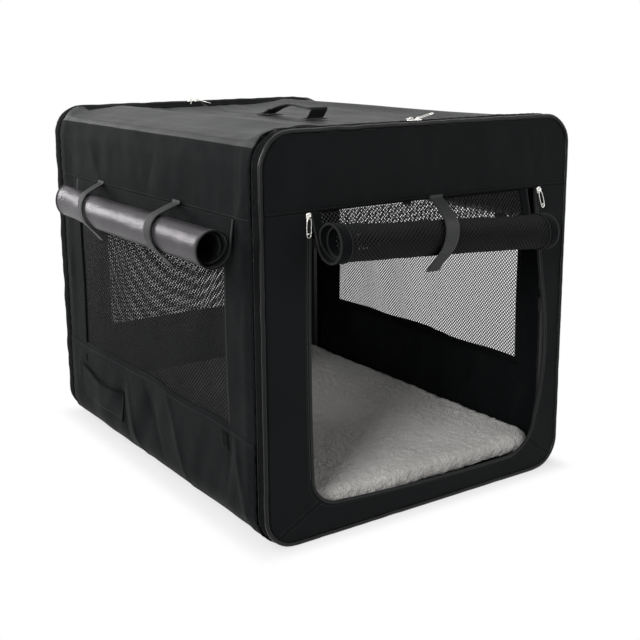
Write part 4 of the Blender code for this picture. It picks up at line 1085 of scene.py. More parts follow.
class CRATE_OT_front(bpy.types.Operator):
    """Front end: the header, the panel round the doorway, its binding and its zip"""

    bl_idname = "crate.front"
    bl_label = "Front End"

    def execute(self, context):
        sizes = context.scene.crate_sizes
        self.header(sizes)
        self.panel(sizes)
        return {"FINISHED"}

    def header(self, sizes):
        low = HEADER_SEAM
        rows = corner_rows(low, END_TOP, 0.008)
        shares = steps(-1.0, 1.0, 0.02)

        def place(u, z):
            x = u * end_half(z)
            roll = 0.0010 * smooth(low + 0.0015 - z, 0.0, 0.0015)
            return Vector((x, -END_FACE - 0.0006 - end_swell(x, z, -1) + roll, z))

        # Its map keeps u as it is, so the grain is finer across than up.
        mesh = sheet_mesh("front_header_cloth", shares, rows, place)
        header = thicken(show("front_header_cloth", mesh, "stiff_oxford_polyester"), 0.0024)
        crumples(header, "black_polyester_front", "front_header")
        line = [place(x / END_HALF, low + 0.0035) - Vector((0, PROUD, 0))
                for x in steps(-END_HALF + 0.004, END_HALF - 0.004, 0.01)]
        crumples(stitches("front_header_stitches", [line], sizes), "black_polyester_front")

    def border(self, left, foot, right, corners):
        """Points down the left, round a corner, along the foot, round the next and up the
        right. Each side gives a point for a share of it, and each corner is (x, z, radius)."""
        points = [left(i / 60) for i in range(61)]
        for side, (x, z, radius), start in zip((foot, right), corners, (180, 270)):
            for i in range(1, 17):
                a = math.radians(start + 90 * i / 16)
                points.append((x + radius * math.cos(a), z + radius * math.sin(a)))
            points += [side(i / 60) for i in range(1, 61)]
        return points

    def outer(self):
        """The panel's outer edge, from the seam on the left, down, across and up."""
        foot, straight = END_LOW + END_CORNER, END_HALF - END_CORNER
        drop = HEADER_SEAM - foot
        return self.border(
            lambda s: (-END_HALF, HEADER_SEAM - drop * s),
            lambda s: (straight * (2 * s - 1), END_LOW),
            lambda s: (END_HALF, foot + drop * s),
            ((-straight, foot, END_CORNER), (straight, foot, END_CORNER)),
        )

    def doorway(self):
        """The doorway's edge, point for point beside the outer one. Its sill rises to the left,
        and its slack right jamb bows out."""

        def jamb(s):
            return DOOR_RIGHT + DOOR_BELLY * (1 - s) * (0.6 + 1.35 * math.sin(math.pi * s))

        left_foot = DOOR_SILL + DOOR_SILL_RISE + DOOR_CORNER_LEFT
        right_foot = DOOR_SILL + DOOR_CORNER_RIGHT
        start, stop = DOOR_LEFT + DOOR_CORNER_LEFT, jamb(0) - DOOR_CORNER_RIGHT
        return self.border(
            lambda s: (DOOR_LEFT - 0.003 * math.sin(math.pi * s),
                       HEADER_SEAM + (left_foot - HEADER_SEAM) * s),
            lambda s: (start + (stop - start) * s,
                       DOOR_SILL + DOOR_SILL_RISE * (1 - s) ** 2.4),
            lambda s: (jamb(s), right_foot + (HEADER_SEAM - right_foot) * s),
            ((start, left_foot, DOOR_CORNER_LEFT), (stop, right_foot, DOOR_CORNER_RIGHT)),
        )

    def panel(self, sizes):
        outer, inner = self.outer(), self.doorway()
        shares = [0.0, 0.06, 0.15, 0.3, 0.45, 0.6, 0.75, 0.88, 0.96, 1.0]

        def place(i, s, out=0.0):
            x, z = [a * (1 - s) + b * s for a, b in zip(outer[i], inner[i])]
            return Vector((x, -END_FACE - out - end_swell(x, z, -1) * (1 - 0.5 * s), z))

        mesh = sheet_mesh("front_frame_cloth", list(range(len(outer))), shares, place,
                          measure=lambda i, s: place(i, s).xz)
        panel = thicken(show("front_frame_cloth", mesh, "stiff_oxford_polyester"), 0.0024)
        crumples(panel, "black_polyester_front", "front_panel")
        # Its cut is a band that runs down one side of the doorway, under it and up the other.
        run = sum(math.dist(a, b) for line in (outer, inner) for a, b in zip(line, line[1:])) / 2

        edge = [Vector((x, -END_FACE + 0.0010 - end_swell(x, z, -1) * 0.5, z)) for x, z in inner]
        rail = flat_rail(edge, Vector((0, 1, 0)))
        tape = sweep_mesh("doorway_binding", rail, rounded_bar(sizes.binding, 0.0044, 0.0018))
        crumples(show("doorway_binding", tape, "grosgrain_binding"), "black_polyester_front")

        # Half of the door's zip runs down the left, and the other half down the right.
        lines = [([p - way_in * 0.0042 - Vector((0, 0.0012, 0)) for p, way_in, _ in half], False)
                 for half in (rail[:61], rail[-61:])]
        coil = row("doorway_zip_teeth", lines, sizes.tooth_pitch * 0.7, 0.0022, 0.0016,
                   sizes.tooth_pitch, (1.0, 0.0, 0.0), "nylon_zip_coil")
        crumples(coil, "black_polyester_front")
        rows = [[place(i, 0.9, PROUD) for i in range(0, len(outer), 2)]]
        mitres = []
        for corner in (69, 145):
            line = [place(corner, s, 0.0002) for s in (0.05, 0.25, 0.5, 0.75, 0.93)]
            mitres.append(cord(line, 0.0006, 6))
            for shift in (-1, 1):
                rows.append([place(corner + shift, s, PROUD) for s in (0.08, 0.4, 0.7, 0.9)])
        crumples(stitches("front_frame_stitches", rows, sizes), "black_polyester_front")
        crumples(show("front_mitre_seams", mitres, "stiff_oxford_polyester"),
                 "black_polyester_front")


class CRATE_OT_rear(bpy.types.Operator):
    """Rear end with the opening of its window"""

    bl_idname = "crate.rear"
    bl_label = "Rear End"

    def execute(self, context):
        sizes = context.scene.crate_sizes
        left, right = REAR_WINDOW[LOW].x, REAR_WINDOW[HIGH].x
        low, high = REAR_WINDOW[LOW].z, REAR_WINDOW[HIGH].z
        # Columns keep the window's edges straight and spread to the rounded outline.
        inner = steps(left, right, 0.012)
        outer = [1.0 - i / 8 for i in range(8)]
        columns = [("out", -s) for s in outer] + [("in", x) for x in inner] + [
            ("out", s) for s in reversed(outer)]

        def on_end(x, z, out=0.0):
            return Vector((x, END_FACE + out + end_swell(x, z, 1), z))

        def place(index, z):
            kind, x = columns[index]
            if kind == "out":
                x = math.copysign(right + (end_half(z) - right) * abs(x), x)
            return on_end(x, z)

        def keep(index, z):
            kinds = columns[int(index)][0], columns[int(index) + 1][0]
            return not (kinds == ("in", "in") and low < z < high)

        rows = corner_rows(END_LOW, END_TOP, 0.009, low, high)
        mesh = sheet_mesh("rear_end_cloth", list(range(len(columns))), rows, place, keep, True,
                          lambda index, z: place(index, z).xz)
        rear = thicken(show("rear_end_cloth", mesh, "stiff_oxford_polyester"), 0.0022)
        crumples(rear, "black_polyester_front", "rear_panel")
        gap = 0.004
        xs, zs = steps(left - gap, right + gap, 0.01), steps(low - gap, high + gap, 0.01)
        line = [(x, zs[0]) for x in xs] + [(xs[-1], z) for z in zs]
        line += [(x, zs[-1]) for x in xs[::-1]] + [(xs[0], z) for z in zs[::-1]]
        frame_line = [on_end(x, z, PROUD) for x, z in line]
        crumples(stitches("rear_window_stitches", [frame_line], sizes), "black_polyester_front")
        return {"FINISHED"}


class CRATE_OT_nets(bpy.types.Operator):
    """Nets of the two side windows and the rear window"""

    bl_idname = "crate.nets"
    bl_label = "Window Nets"

    def execute(self, context):
        sizes = context.scene.crate_sizes
        margin = 0.008
        width = WINDOW[HIGH].y - WINDOW[LOW].y + 2 * margin
        height = WINDOW[HIGH].z - WINDOW[LOW].z + 2 * margin
        middle_y = (WINDOW[LOW].y + WINDOW[HIGH].y) / 2
        middle_z = (WINDOW[LOW].z + WINDOW[HIGH].z) / 2
        behind = sizes.cloth + 0.0004
        for hand, side in ((-1, "left"), (1, "right")):

            def place(u, v, out, hand=hand):
                y, z = middle_y + hand * u, middle_z + v
                return wall_point(hand, y, t_of(z), sizes.slack, out - behind)

            piece = net(f"{side}_net", width, height, sizes, place)
            crumples(piece, "black_mesh", f"{side}_window_net")
            self.solid(sizes) * width * height
        wide = REAR_WINDOW[HIGH].x - REAR_WINDOW[LOW].x + 2 * margin
        middle_z = (REAR_WINDOW[LOW].z + REAR_WINDOW[HIGH].z) / 2

        def place_rear(u, v, out):
            z = middle_z + v
            return Vector((-u, END_FACE - 0.0026 + out + end_swell(-u, z, 1), z))

        rear = net("rear_net", wide, height, sizes, place_rear)
        crumples(rear, "black_mesh", "rear_window_net")
        self.solid(sizes) * wide * height
        return {"FINISHED"}

    @staticmethod
    def solid(sizes):
        """The yarn's own surface, its sloping sides included, as a share of the net's area."""
        flank = sizes.yarn / 2 * sizes.net_across / math.sqrt(2)
        return min(1.0, (1 - (1 - sizes.yarn) ** 2) * math.hypot(flank, sizes.net_depth) / flank)


class Track:
    """A bent path of (out, z) points that is read by length along it."""

    def __init__(self, points):
        self.points = [Vector(p) for p in points]
        self.lengths = [0.0]
        for a, b in zip(self.points, self.points[1:]):
            self.lengths.append(self.lengths[-1] + (b - a).length)
        self.length = self.lengths[-1]

    def at(self, share):
        """Point and left hand direction at a share of the length."""
        target = min(max(share, 0.0), 1.0) * self.length
        low, high = 0, len(self.lengths) - 2
        while low < high:
            mid = (low + high + 1) // 2
            if self.lengths[mid] <= target:
                low = mid
            else:
                high = mid - 1
        a, b = self.points[low], self.points[low + 1]
        part = (target - self.lengths[low]) / max(1e-9, self.lengths[low + 1] - self.lengths[low])
        ahead = self.points[min(low + 2, len(self.points) - 1)] - a
        back = b - self.points[max(low - 1, 0)]
        run = back.lerp(ahead, part).normalized()
        return a.lerp(b, part), Vector((-run.y, run.x))


def roll_track(reach, height, radius, pitch, turns, hem, sheet):
    """A sheet that hangs from its hem behind a roll, goes under it and winds up inside itself."""
    outer, per_turn = radius - sheet / 2, 48
    drop = Vector((reach - hem[0], hem[1] - height))
    lean = math.atan2(drop.x, drop.y) - math.asin(outer / drop.length)
    points = [Vector(hem)]
    for i in range(int(turns * per_turn) + 1):
        angle = -math.pi / 2 - lean - 2 * math.pi * i / per_turn
        now = outer - pitch * i / per_turn
        points.append(Vector((reach + now * math.sin(angle), height + now * math.cos(angle))))
    hanging = [points[0].lerp(points[1], s) for s in (0.25, 0.5, 0.75)]
    return Track(points[:1] + hanging + points[1:])


def strap_track(reach, height, radius, seat, leave):
    """A strap: straight from its seam to the roll, over it and off it with a free end."""
    drop = Vector((reach - 0.0012, seat - height))
    start = math.atan2(drop.x, drop.y) - math.acos(radius / drop.length)
    points = [(0.0008, seat + 0.004), (0.0012, seat)]
    count = 28
    for i in range(count + 1):
        angle = -start + (math.radians(leave) + start) * i / count
        points.append((reach + radius * math.sin(angle), height + radius * math.cos(angle)))
    angle = math.radians(leave)
    run = Vector((math.cos(angle), -math.sin(angle)))
    last = Vector(points[-1])
    curl = Vector((-run.y, run.x))
    points += [last + run * STRAP_TAIL * s + curl * 0.0022 * s * s for s in (0.25, 0.5, 0.75, 1.0)]
    return Track(points)


def strap_piece(name, track, start, drift, width, place, flip, look="ribbed_webbing"):
    """A webbing strap along a track, drifting sideways towards its free end."""
    def at(s, w):
        spot, way = track.at(s)
        edge = 0.0003 * (1 - min(1.0, min(w, 1 - w) / 0.08))
        return place(spot + way * -edge, start + drift * smooth(s, -0.15, 1.1) + width * w)

    mesh = sheet_mesh(name, steps(0.0, 1.0, 0.02), [0.0, 0.08, 0.35, 0.65, 0.92, 1.0], at,
                      flip=flip, measure=lambda s, w: (w * width, s * track.length))
    return thicken(show(name, mesh, look), 0.0013, 0.0)


class CRATE_OT_door(bpy.types.Operator):
    """The net door, rolled up under the header, with its bindings and its strap"""

    bl_idname = "crate.door"
    bl_label = "Rolled Door"

    def execute(self, context):
        sizes = context.scene.crate_sizes
        left, right = DOOR_LEFT + 0.001, DOOR_RIGHT - 0.017
        reach, sheet, band = 0.0385, 0.0016, 0.017
        heights = (0.407, 0.384)
        tracks = [roll_track(reach, z, 0.0270, 0.0036, 2.6, (-0.0015, HEADER_SEAM - 0.001),
                             sheet) for z in heights]
        length = sum(t.length for t in tracks) / 2

        def at(x, s, out=0.0):
            share = (x - left) / (right - left)
            near, near_way = tracks[0].at(s)
            far, far_way = tracks[1].at(s)
            spot, way = near.lerp(far, share), near_way.lerp(far_way, share).normalized()
            rolled = smooth(s, 0.10, 0.18)
            dent = rolled * (0.0011 * soft(x / 0.07, s * 6, 5.0) + 0.0006 * soft(x / 0.02, s * 14))
            spot = spot - way * (out + dent)
            back = 1 - 0.055 * smooth(s, 0.44, 0.58)
            return Vector(((left + right) / 2 * (1 - back) + x * back, -END_FACE - spot.x, spot.y))

        def in_net(u, v, out):
            return at(u + (left + right) / 2, 0.5 + v / length, out)

        net_width = right - left - 2 * band + 0.006
        piece = net("door_net", net_width, length, sizes, in_net, "coated_door_yarn")
        shares = steps(0.0, 1.0, 0.006)
        bands = [sheet_mesh("band", steps(low, high, 0.006), [s * length for s in shares],
                            lambda x, v: at(x, v / length, 0.0004))
                 for low, high in ((left, left + band), (right - band, right))]
        bound = thicken(show("door_side_bands", bands, "oxford_polyester"), 0.0014, 0.0)
        hems = [cord([at(x, s, out) for s in shares], radius, sides)
                for inset, out, radius, sides in ((0.0008, 0.0, 0.0015, 8),
                                                  (band, 0.0011, 0.0007, 6))
                for x in (left + inset, right - inset)]
        hem = show("door_hems", hems, "grosgrain_binding")
        crumples(piece, "black_door_mesh", "front_door_roll")
        crumples(bound, "black_door_mesh")
        crumples(hem, "black_door_mesh")
        CRATE_OT_nets.solid(sizes) * net_width * length

        height = heights[0] + (heights[1] - heights[0]) * (0.003 - left) / (right - left)
        track = strap_track(reach, height, 0.0291, HEADER_SEAM + 0.0015, 128.0)

        def beside(spot, along):
            return Vector((along, -END_FACE - 0.0008 - spot.x, spot.y))

        strap = strap_piece("door_tie", track, 0.003, -0.045, STRAP, beside, True,
                            "satin_webbing")
        crumples(strap, "black_webbing", "door_strap")
        return {"FINISHED"}


class CRATE_OT_flaps(bpy.types.Operator):
    """The two side flaps, rolled up outside their windows, with two straps each"""

    bl_idname = "crate.flaps"
    bl_label = "Rolled Flaps"

    def press(self, y):
        """The roll is pressed flat against the wall towards its rear end."""
        return 1 - 0.28 * smooth(y, 0.02, 0.242)



    def execute(self, context):
        sizes = context.scene.crate_sizes
        front, back = -0.275, 0.242
        reach, height, sheet = 0.032, 0.397, 0.0012
        track = roll_track(reach, height, 0.0262, 0.0036, 2.1, (0.0012, SIDE_SEAM), sheet)
        length = track.length
        shares = [s * length for s in steps(0.0, 1.0, 0.0055)]
        ys = steps(front, back, 0.009)
        for hand, side in ((-1, "left"), (1, "right")):

            def at(y, v, out=0.0, hand=hand):
                spot, way = track.at(v / length)
                rolled = smooth(v / length, 0.10, 0.20)
                dent = 0.0011 * soft(y / 0.09 + hand, v / 0.05, 3.0) + 0.0005 * soft(
                    y / 0.025, v / 0.02, hand)
                spot = spot - way * (out + rolled * dent)
                inner = smooth(v / length, 0.50, 0.66)
                return Vector((hand * (SKIN_X + 0.0006 + spot.x * self.press(y)),
                               y * (1 - 0.045 * inner), spot.y))

            mesh = sheet_mesh(f"{side}_flap", ys, shares, at, flip=hand > 0)
            flap = show(f"{side}_flap", mesh, "oxford_polyester", "silver_flap_coating")
            thicken(flap, sheet, 0.0, 1)
            hems = []
            for y, inward in ((front, 1), (back, -1)):
                shift = Vector((0, inward * sizes.binding / 2, 0))
                rail = flat_rail([at(y, v) + shift for v in shares], Vector((0, 1, 0)))
                hems.append(sweep_mesh("hem", rail, rounded_bar(0.0026, sizes.binding, 0.0010)))
            hem = show(f"{side}_flap_binding", hems, "grosgrain_binding")
            crumples(flap, "coated_flap", f"{side}_flap_roll")
            crumples(hem, "black_webbing")
            over = strap_track(reach, height, 0.0279, SIDE_SEAM + 0.0025, 135.0)

            def beside(spot, along, hand=hand):
                return Vector((hand * (SKIN_X + 0.0009 + spot.x * self.press(along)), along,
                               spot.y))

            for end, start, drift in (("rear", 0.136, -0.070), ("front", -0.126, -0.045)):
                strap = strap_piece(f"{side}_{end}_flap_tie", over, start, drift, STRAP, beside,
                                    hand < 0)
                crumples(strap, "black_webbing", f"{side}_{end}_flap_strap")
        return {"FINISHED"}


class CRATE_OT_pocket(bpy.types.Operator):
    """Pocket low on the left wall, and the two small tabs beside it"""

    bl_idname = "crate.pocket"
    bl_label = "Pocket and Tabs"

    def execute(self, context):
        sizes = context.scene.crate_sizes
        low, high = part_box("left_pocket")
        front, back = low.y, high.y

        def rim(y):
            share = (y - front) / (back - front)
            return high.z - 0.006 + 0.010 * smooth(share, 0.45, 1.0) - 0.005 * math.sin(
                math.pi * share)

        def at(u, v, out=0.0):
            y = front + (back - front) * u
            z = low.z + (rim(y) - low.z) * v
            puff = math.sin(math.pi * u) ** 0.7 * (0.25 + 0.75 * v) * (1 - (1 - v) ** 6)
            puff *= 0.0030 + 0.0014 * soft(u * 3, v * 2, 5.5)
            lift = 0.0012 + 0.0010 * smooth(0.03 - u, 0.0, 0.03)
            return wall_point(-1, y, t_of(z), sizes.slack, lift + puff + out)

        mesh = sheet_mesh("left_pocket_cloth", steps(0.0, 1.0, 0.03), steps(0.0, 1.0, 0.08), at,
                          flip=True,
                          measure=lambda u, v: (u * (back - front), v * (high.z - low.z)))
        pocket = thicken(show("left_pocket_cloth", mesh, "oxford_polyester"), 0.0009)
        crumples(pocket, "black_polyester", "left_pocket")
        rim_cords = [cord([at(u, 1.0, 0.0002) for u in steps(0.0, 1.0, 0.03)], 0.0010),
                     cord([at(0.0, v, 0.0002) for v in steps(0.0, 1.0, 0.1)], 0.0010, 6)]
        crumples(show("pocket_rim", rim_cords, "knitted_zip_tape"), "black_polyester")
        # A near black cord just above the pocket's rim is a painted shadow along the pocket's
        # mouth.
        line = [at(u, 1.0, -0.0010) + Vector((0, 0, 0.0020)) for u in steps(0.02, 0.98, 0.03)]
        crumples(show("pocket_mouth", cord(line, 0.0013, 6), "loop_tape"), "black_polyester")
        rows = [[at(u, v, PROUD) for v in steps(0.02, 0.95, 0.1)] for u in (0.03, 0.97)]
        rows.append([at(u, 0.05, PROUD) for u in steps(0.03, 0.97, 0.05)])
        crumples(stitches("pocket_stitches", rows, sizes), "black_polyester")

        tabs = []
        for y0, y1, z0, z1 in ((-0.242, -0.222, 0.112, 0.138), (0.240, 0.250, 0.119, 0.131)):
            tabs.append(sheet_mesh(
                "tab", steps(y0, y1, (y1 - y0) / 5), steps(z0, z1, (z1 - z0) / 5),
                lambda y, z: wall_point(-1, y, t_of(z), sizes.slack, 0.0016), flip=True,
                measure=lambda y, z: (y - y0, z - z0)))
        patches = thicken(show("wall_tabs", tabs, "loop_tape"), 0.0012)
        crumples(patches, "black_webbing")
        return {"FINISHED"}


class CRATE_OT_mat(bpy.types.Operator):
    """Fleece mat on the floor rails"""

    bl_idname = "crate.mat"
    bl_label = "Fleece Mat"

    def execute(self, context):
        sizes = context.scene.crate_sizes
        low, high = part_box("fleece_mat")
        pad = show("soft_pad", self.slab(low, high), "sherpa_fleece")
        step = pad.modifiers.new("even", "REMESH")
        step.mode, step.voxel_size = "VOXEL", 0.0062
        self.settle(pad, step)
        self.swell(pad, context.scene)
        step = pad.modifiers.new("finer", "SUBSURF")
        step.levels = step.render_levels = 1
        self.settle(pad, step)
        mesh = pad.data
        mesh.materials.clear()
        bpy.data.objects.remove(pad)
        mat = show("soft_mat", mesh, "sherpa_fleece")
        moved = []
        for vertex in mesh.vertices:
            x, y, z = vertex.co
            pile = 1.1 * soft(x / 0.0090, y / 0.0090, z / 0.0090) + 0.9 * soft(
                x / 0.0045, y / 0.0045, 3.0 + z / 0.0045) + 0.7 * soft(x / 0.03, y / 0.03, 5.0)
            spot = vertex.co + vertex.normal * sizes.tuft * pile
            moved.append([min(max(spot[k], low[k] + 0.0001), high[k] + (0.0015 if k == 2 else 0))
                          for k in range(3)])
        for vertex, spot in zip(mesh.vertices, moved):
            vertex.co = spot
        mesh.update()
        rides(mat, "base", "grey_fleece", "fleece_mat")
        return {"FINISHED"}

    def slab(self, low, high):
        """The mat before it swells: a board with round corners and a raised rim."""
        corner, edge, less = 0.032, 0.011, 0.0020
        half_x, half_y = high.x - less, high.y - less
        middle, thick = (low.z + high.z) / 2, (high.z - low.z) / 2 - less

        def at(u, v, up):
            x, y = u * half_x, v * half_y
            in_x = max(0.0, abs(x) - (half_x - corner))
            in_y = max(0.0, abs(y) - (half_y - corner))
            far, square = math.hypot(in_x, in_y), max(in_x, in_y)
            if in_x > 0 and in_y > 0:
                x = math.copysign(half_x - corner + in_x * square / far, x)
                y = math.copysign(half_y - corner + in_y * square / far, y)
            share = min(1.0, (corner - square) / edge)
            rim = math.sqrt(max(0.0, 1 - (1 - share) ** 2))
            crown = 0.0
            if up > 0:
                crown = 0.0030 * math.exp(-((corner - square - 0.012) / 0.011) ** 2)
                crown += 0.0014 * soft(x / 0.07, y / 0.07, 5.0) - 0.0012
            return Vector((x, y, middle + up * rim * (thick + crown)))

        us, vs = steps(-1.0, 1.0, 0.018), steps(-1.0, 1.0, 0.013)
        top = sheet_mesh("mat_top", us, vs, lambda u, v: at(u, v, 1))
        under = sheet_mesh("mat_under", us, vs, lambda u, v: at(u, v, -1), flip=True)
        mesh = merge("mat_slab", [top, under])
        bm = bmesh.new()
        bm.from_mesh(mesh)
        bmesh.ops.remove_doubles(bm, verts=bm.verts, dist=0.0003)
        bm.to_mesh(mesh)
        bm.free()
        return mesh

    def settle(self, thing, step):
        """Applies a modifier."""
        graph = bpy.context.evaluated_depsgraph_get()
        made = bpy.data.meshes.new_from_object(thing.evaluated_get(graph))
        thing.modifiers.remove(step)
        old, thing.data = thing.data, made
        bpy.data.meshes.remove(old)

    def swell(self, pad, scene):
        """Fleece filled by a light pressure, which may move no point more than 4 mm."""
        start = [vertex.co.copy() for vertex in pad.data.vertices]
        step = pad.modifiers.new("swell", "CLOTH")
        step.settings.quality = 5
        step.settings.use_pressure = True
        step.settings.uniform_pressure_force = 4.0
        step.settings.effector_weights.gravity = 0.0
        step.point_cache.frame_start, step.point_cache.frame_end = 1, 20
        for number in range(1, 21):
            scene.frame_set(number)
        self.settle(pad, step)
        scene.frame_set(1)
        for vertex, first in zip(pad.data.vertices, start):
            shift = vertex.co - first
            if shift.length > 0.004:
                vertex.co = first + shift.normalized() * 0.004


class CRATE_OT_handle(bpy.types.Operator):
    """Carry handle and the two tabs that hold it to the top"""

    bl_idname = "crate.handle"
    bl_label = "Carry Handle"

    def execute(self, context):
        sizes = context.scene.crate_sizes
        low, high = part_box("handle_strap")
        half, reach = high.x, high.y
        # The band's line, front to back: steep beside the front tab, flat, then down to the rear.
        line = ((-0.0705, 0.5470), (-0.064, 0.5482), (-0.053, 0.5496), (-0.036, 0.5514),
                (-0.020, 0.5528), (-0.006, 0.5533), (0.008, 0.5524), (0.025, 0.5492),
                (0.043, 0.5445), (reach - 0.003, 0.5388))
        band = self.webbing("handle_band", line, half - 0.0008, 0.0022, waist=0.10)
        rides(band, "handle", "black_webbing", "handle_strap")
        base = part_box("handle_anchor_rear")[LOW].z
        # The rear tab slopes up to the band. The front one leans over it and rolls round it.
        ramp = ((0.0840, base + 0.0006), (0.0750, base + 0.0014), (0.0660, base + 0.0040),
                (0.0580, base + 0.0070), (0.0500, base + 0.0096))
        stand = ((-0.0560, base + 0.0008), (-0.0630, base + 0.0014), (-0.0680, base + 0.0056),
                 (-0.0722, base + 0.0108), (-0.0764, base + 0.0150), (-0.0760, base + 0.0178),
                 (-0.0722, base + 0.0180), (-0.0680, base + 0.0172))
        for end, path, half_tab, flare in (("rear", ramp, 0.0136, 0.10),
                                           ("front", stand, 0.0146, 0.0)):
            tab = self.webbing(f"handle_{end}_tab", path, half_tab, 0.0024, flare=flare)
            rides(tab, "top", "black_webbing", f"handle_anchor_{end}")
            low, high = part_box(f"handle_anchor_{end}")
            patch = [(Vector((x, (low.y + high.y) / 2, low.z + 0.0008)), Vector((0, 1, 0)),
                      Vector((0, 0, 1))) for x in steps(low.x, high.x, 0.004)]
            foot = sweep_mesh(f"handle_{end}_foot", patch,
                              rounded_bar(high.y - low.y - 0.002, 0.0014, 0.0006))
            rides(show(f"handle_{end}_foot", foot, "ribbed_webbing"), "top", "black_webbing")
            x, y = high.x - 0.0025, (high.y - low.y) / 2 - 0.0035
            box = [Vector((sx * x, (low.y + high.y) / 2 + sy * y, low.z + 0.0016))
                   for sx, sy in ((-1, -1), (1, -1), (1, 1), (-1, 1), (-1, -1))]
            rides(stitches(f"handle_{end}_stitches", [box], sizes), "top", "black_webbing")
        return {"FINISHED"}

    def webbing(self, name, line, half, thick, waist=0.0, flare=0.0):
        """Webbing swept along a line of (y, z), narrower in the middle or at its top."""
        points = [Vector((0, y, z)) for y, z in line]
        for _ in range(2):
            rounded = [points[0]]
            for a, b in zip(points, points[1:]):
                rounded += [a.lerp(b, 0.25), a.lerp(b, 0.75)]
            points = rounded + [points[-1]]
        track = Track([(p.y, p.z) for p in points])
        us, ws = steps(0.0, 1.0, 0.03), [-1.0, -0.86, -0.5, 0.0, 0.5, 0.86, 1.0]

        def at(u, w):
            spot, way = track.at(u)
            narrow = 1 - waist * math.sin(math.pi * u) - flare * math.sin(math.pi * 0.85 * u)
            cup = -0.0012 * (waist > 0) * math.sin(math.pi * u) * w * w
            spot = spot + way * (cup + 0.0003 * soft(u * 5, w, half))
            return Vector((w * half * narrow, spot.x, spot.y))

        mesh = sheet_mesh(name, us, ws, at, flip=line[0][0] < line[-1][0],
                          measure=lambda u, w: (w * half, u * track.length))
        return thicken(show(name, mesh, "grosgrain_binding"), thick, 0.0)


class CRATE_OT_zips(bpy.types.Operator):
    """Zip sliders and their pulls"""

    bl_idname = "crate.zips"
    bl_label = "Zip Sliders"

    def execute(self, context):
        seat = SKIN_TOP + 0.0003
        for face, end in ((-1, "front"), (1, "rear")):
            for hand, side in ((-1, "left"), (1, "right")):
                low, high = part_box(f"{end}_{side}_zip_slider")
                place = Vector(((low.x + high.x) / 2, (low.y + high.y) / 2, seat))
                turn = Matrix.Rotation(math.pi if hand < 0 else 0.0, 4, "Z")
                lift = {("front", "right"): (0.024, -15.0, -8.0),
                        ("front", "left"): (0.018, -2.0, 38.0),
                        ("rear", "left"): (0.023, 36.0, 52.0),
                        ("rear", "right"): (0.028, 20.0, -42.0)}
                length, up, swing = lift[end, side]
                self.one(f"{end}_{side}_zip", place, turn, length, up, swing, None)
        down = Matrix(((0, 1, 0, 0), (0, 0, -1, 0), (-1, 0, 0, 0), (0, 0, 0, 1)))
        for side, swing in (("left", -4.0), ("right", 16.0)):
            low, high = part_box(f"door_{side}_zip_slider")
            place = Vector(((low.x + high.x) / 2, high.y, (low.z + high.z) / 2))
            self.one(f"door_{side}_zip", place, down, 0.027, -3.0, swing, "door")
        return {"FINISHED"}

    def one(self, name, place, turn, length, up, swing, door):
        frame_of = Matrix.Translation(place) @ turn
        slider = self.slider(name)
        slider.transform(frame_of)
        pull = self.pull(name, length)
        held = Matrix.Translation((0, 0, 0.0034)) @ Matrix.Rotation(
            math.radians(up), 4, "Y") @ Matrix.Rotation(math.radians(swing), 4, "Z")
        pull.transform(frame_of @ held)
        for mesh, part in ((slider, "slider"), (pull, "pull")):
            piece = show(f"{name}_{part}_metal", mesh, "nickel_plated_zinc")
            body = f"{name[:-4]}_{part}"
            if door:
                crumples(piece, "nickel_zip", f"{name}_{part}", body=body)
            else:
                rides(piece, body, "nickel_zip", f"{name}_{part}")

    def slider(self, name):
        """Slider body with a waist, and the bridge that holds the pull."""
        bm = bmesh.new()
        half, wide = 0.00475, 0.0040
        outline = [(-half, 0.6), (-0.6 * half, 0.95), (0.1 * half, 1.0), (0.75 * half, 0.86),
                   (half, 0.55)]
        rim = [(x, y * wide) for x, y in outline] + [(x, -y * wide) for x, y in
                                                     reversed(outline)]
        rows = []
        for z, inset in ((0.0, 0.94), (0.0003, 1.0), (0.0017, 1.0), (0.0022, 0.90)):
            rows.append([bm.verts.new((x * inset, y * inset, z)) for x, y in rim])
        bm.faces.new(rows[0])
        bm.faces.new(rows[-1])
        for a, b in zip(rows, rows[1:]):
            for i in range(len(rim)):
                j = (i + 1) % len(rim)
                bm.faces.new((a[i], a[j], b[j], b[i]))
        bmesh.ops.recalc_face_normals(bm, faces=bm.faces)
        body = bpy.data.meshes.new(f"{name}_body")
        bm.to_mesh(body)
        bm.free()
        points = [Vector((0.0034 * math.cos(a), 0, 0.0019 + 0.0032 * math.sin(a)))
                  for a in (math.pi * i / 12 for i in range(13))]
        bridge = sweep_mesh("bridge", cord_rail(points), rounded_bar(0.0026, 0.0010, 0.0004))
        return merge(name, [body, bridge])

    def pull(self, name, length):
        """A long loop: a round wire frame with a flat tip."""
        half = 0.0039
        points = []
        count = 40
        for i in range(count):
            a = 2 * math.pi * i / count
            c, s = math.cos(a), math.sin(a)
            x = length / 2 + math.copysign(abs(c) ** 0.45, c) * length / 2
            width = half * (0.62 + 0.38 * smooth(x, 0.0, 0.35 * length))
            y = math.copysign(abs(s) ** 0.8, s) * width
            points.append(Vector((x - 0.0007, y * 0.86, 0)))
        rail = flat_rail(points, Vector((0, 0, 1)), closed=True)
        loop = sweep_mesh("loop", rail, rounded_bar(0.0015, 0.0012, 0.0005), closed=True)
        bar = [(Vector((length * 0.80, y, 0)), Vector((1, 0, 0)), Vector((0, 0, 1)))
               for y in (-0.0028, 0.0028)]
        cross = sweep_mesh("bar", bar, rounded_bar(0.0016, 0.0011, 0.0004))
        return merge(name, [loop, cross])


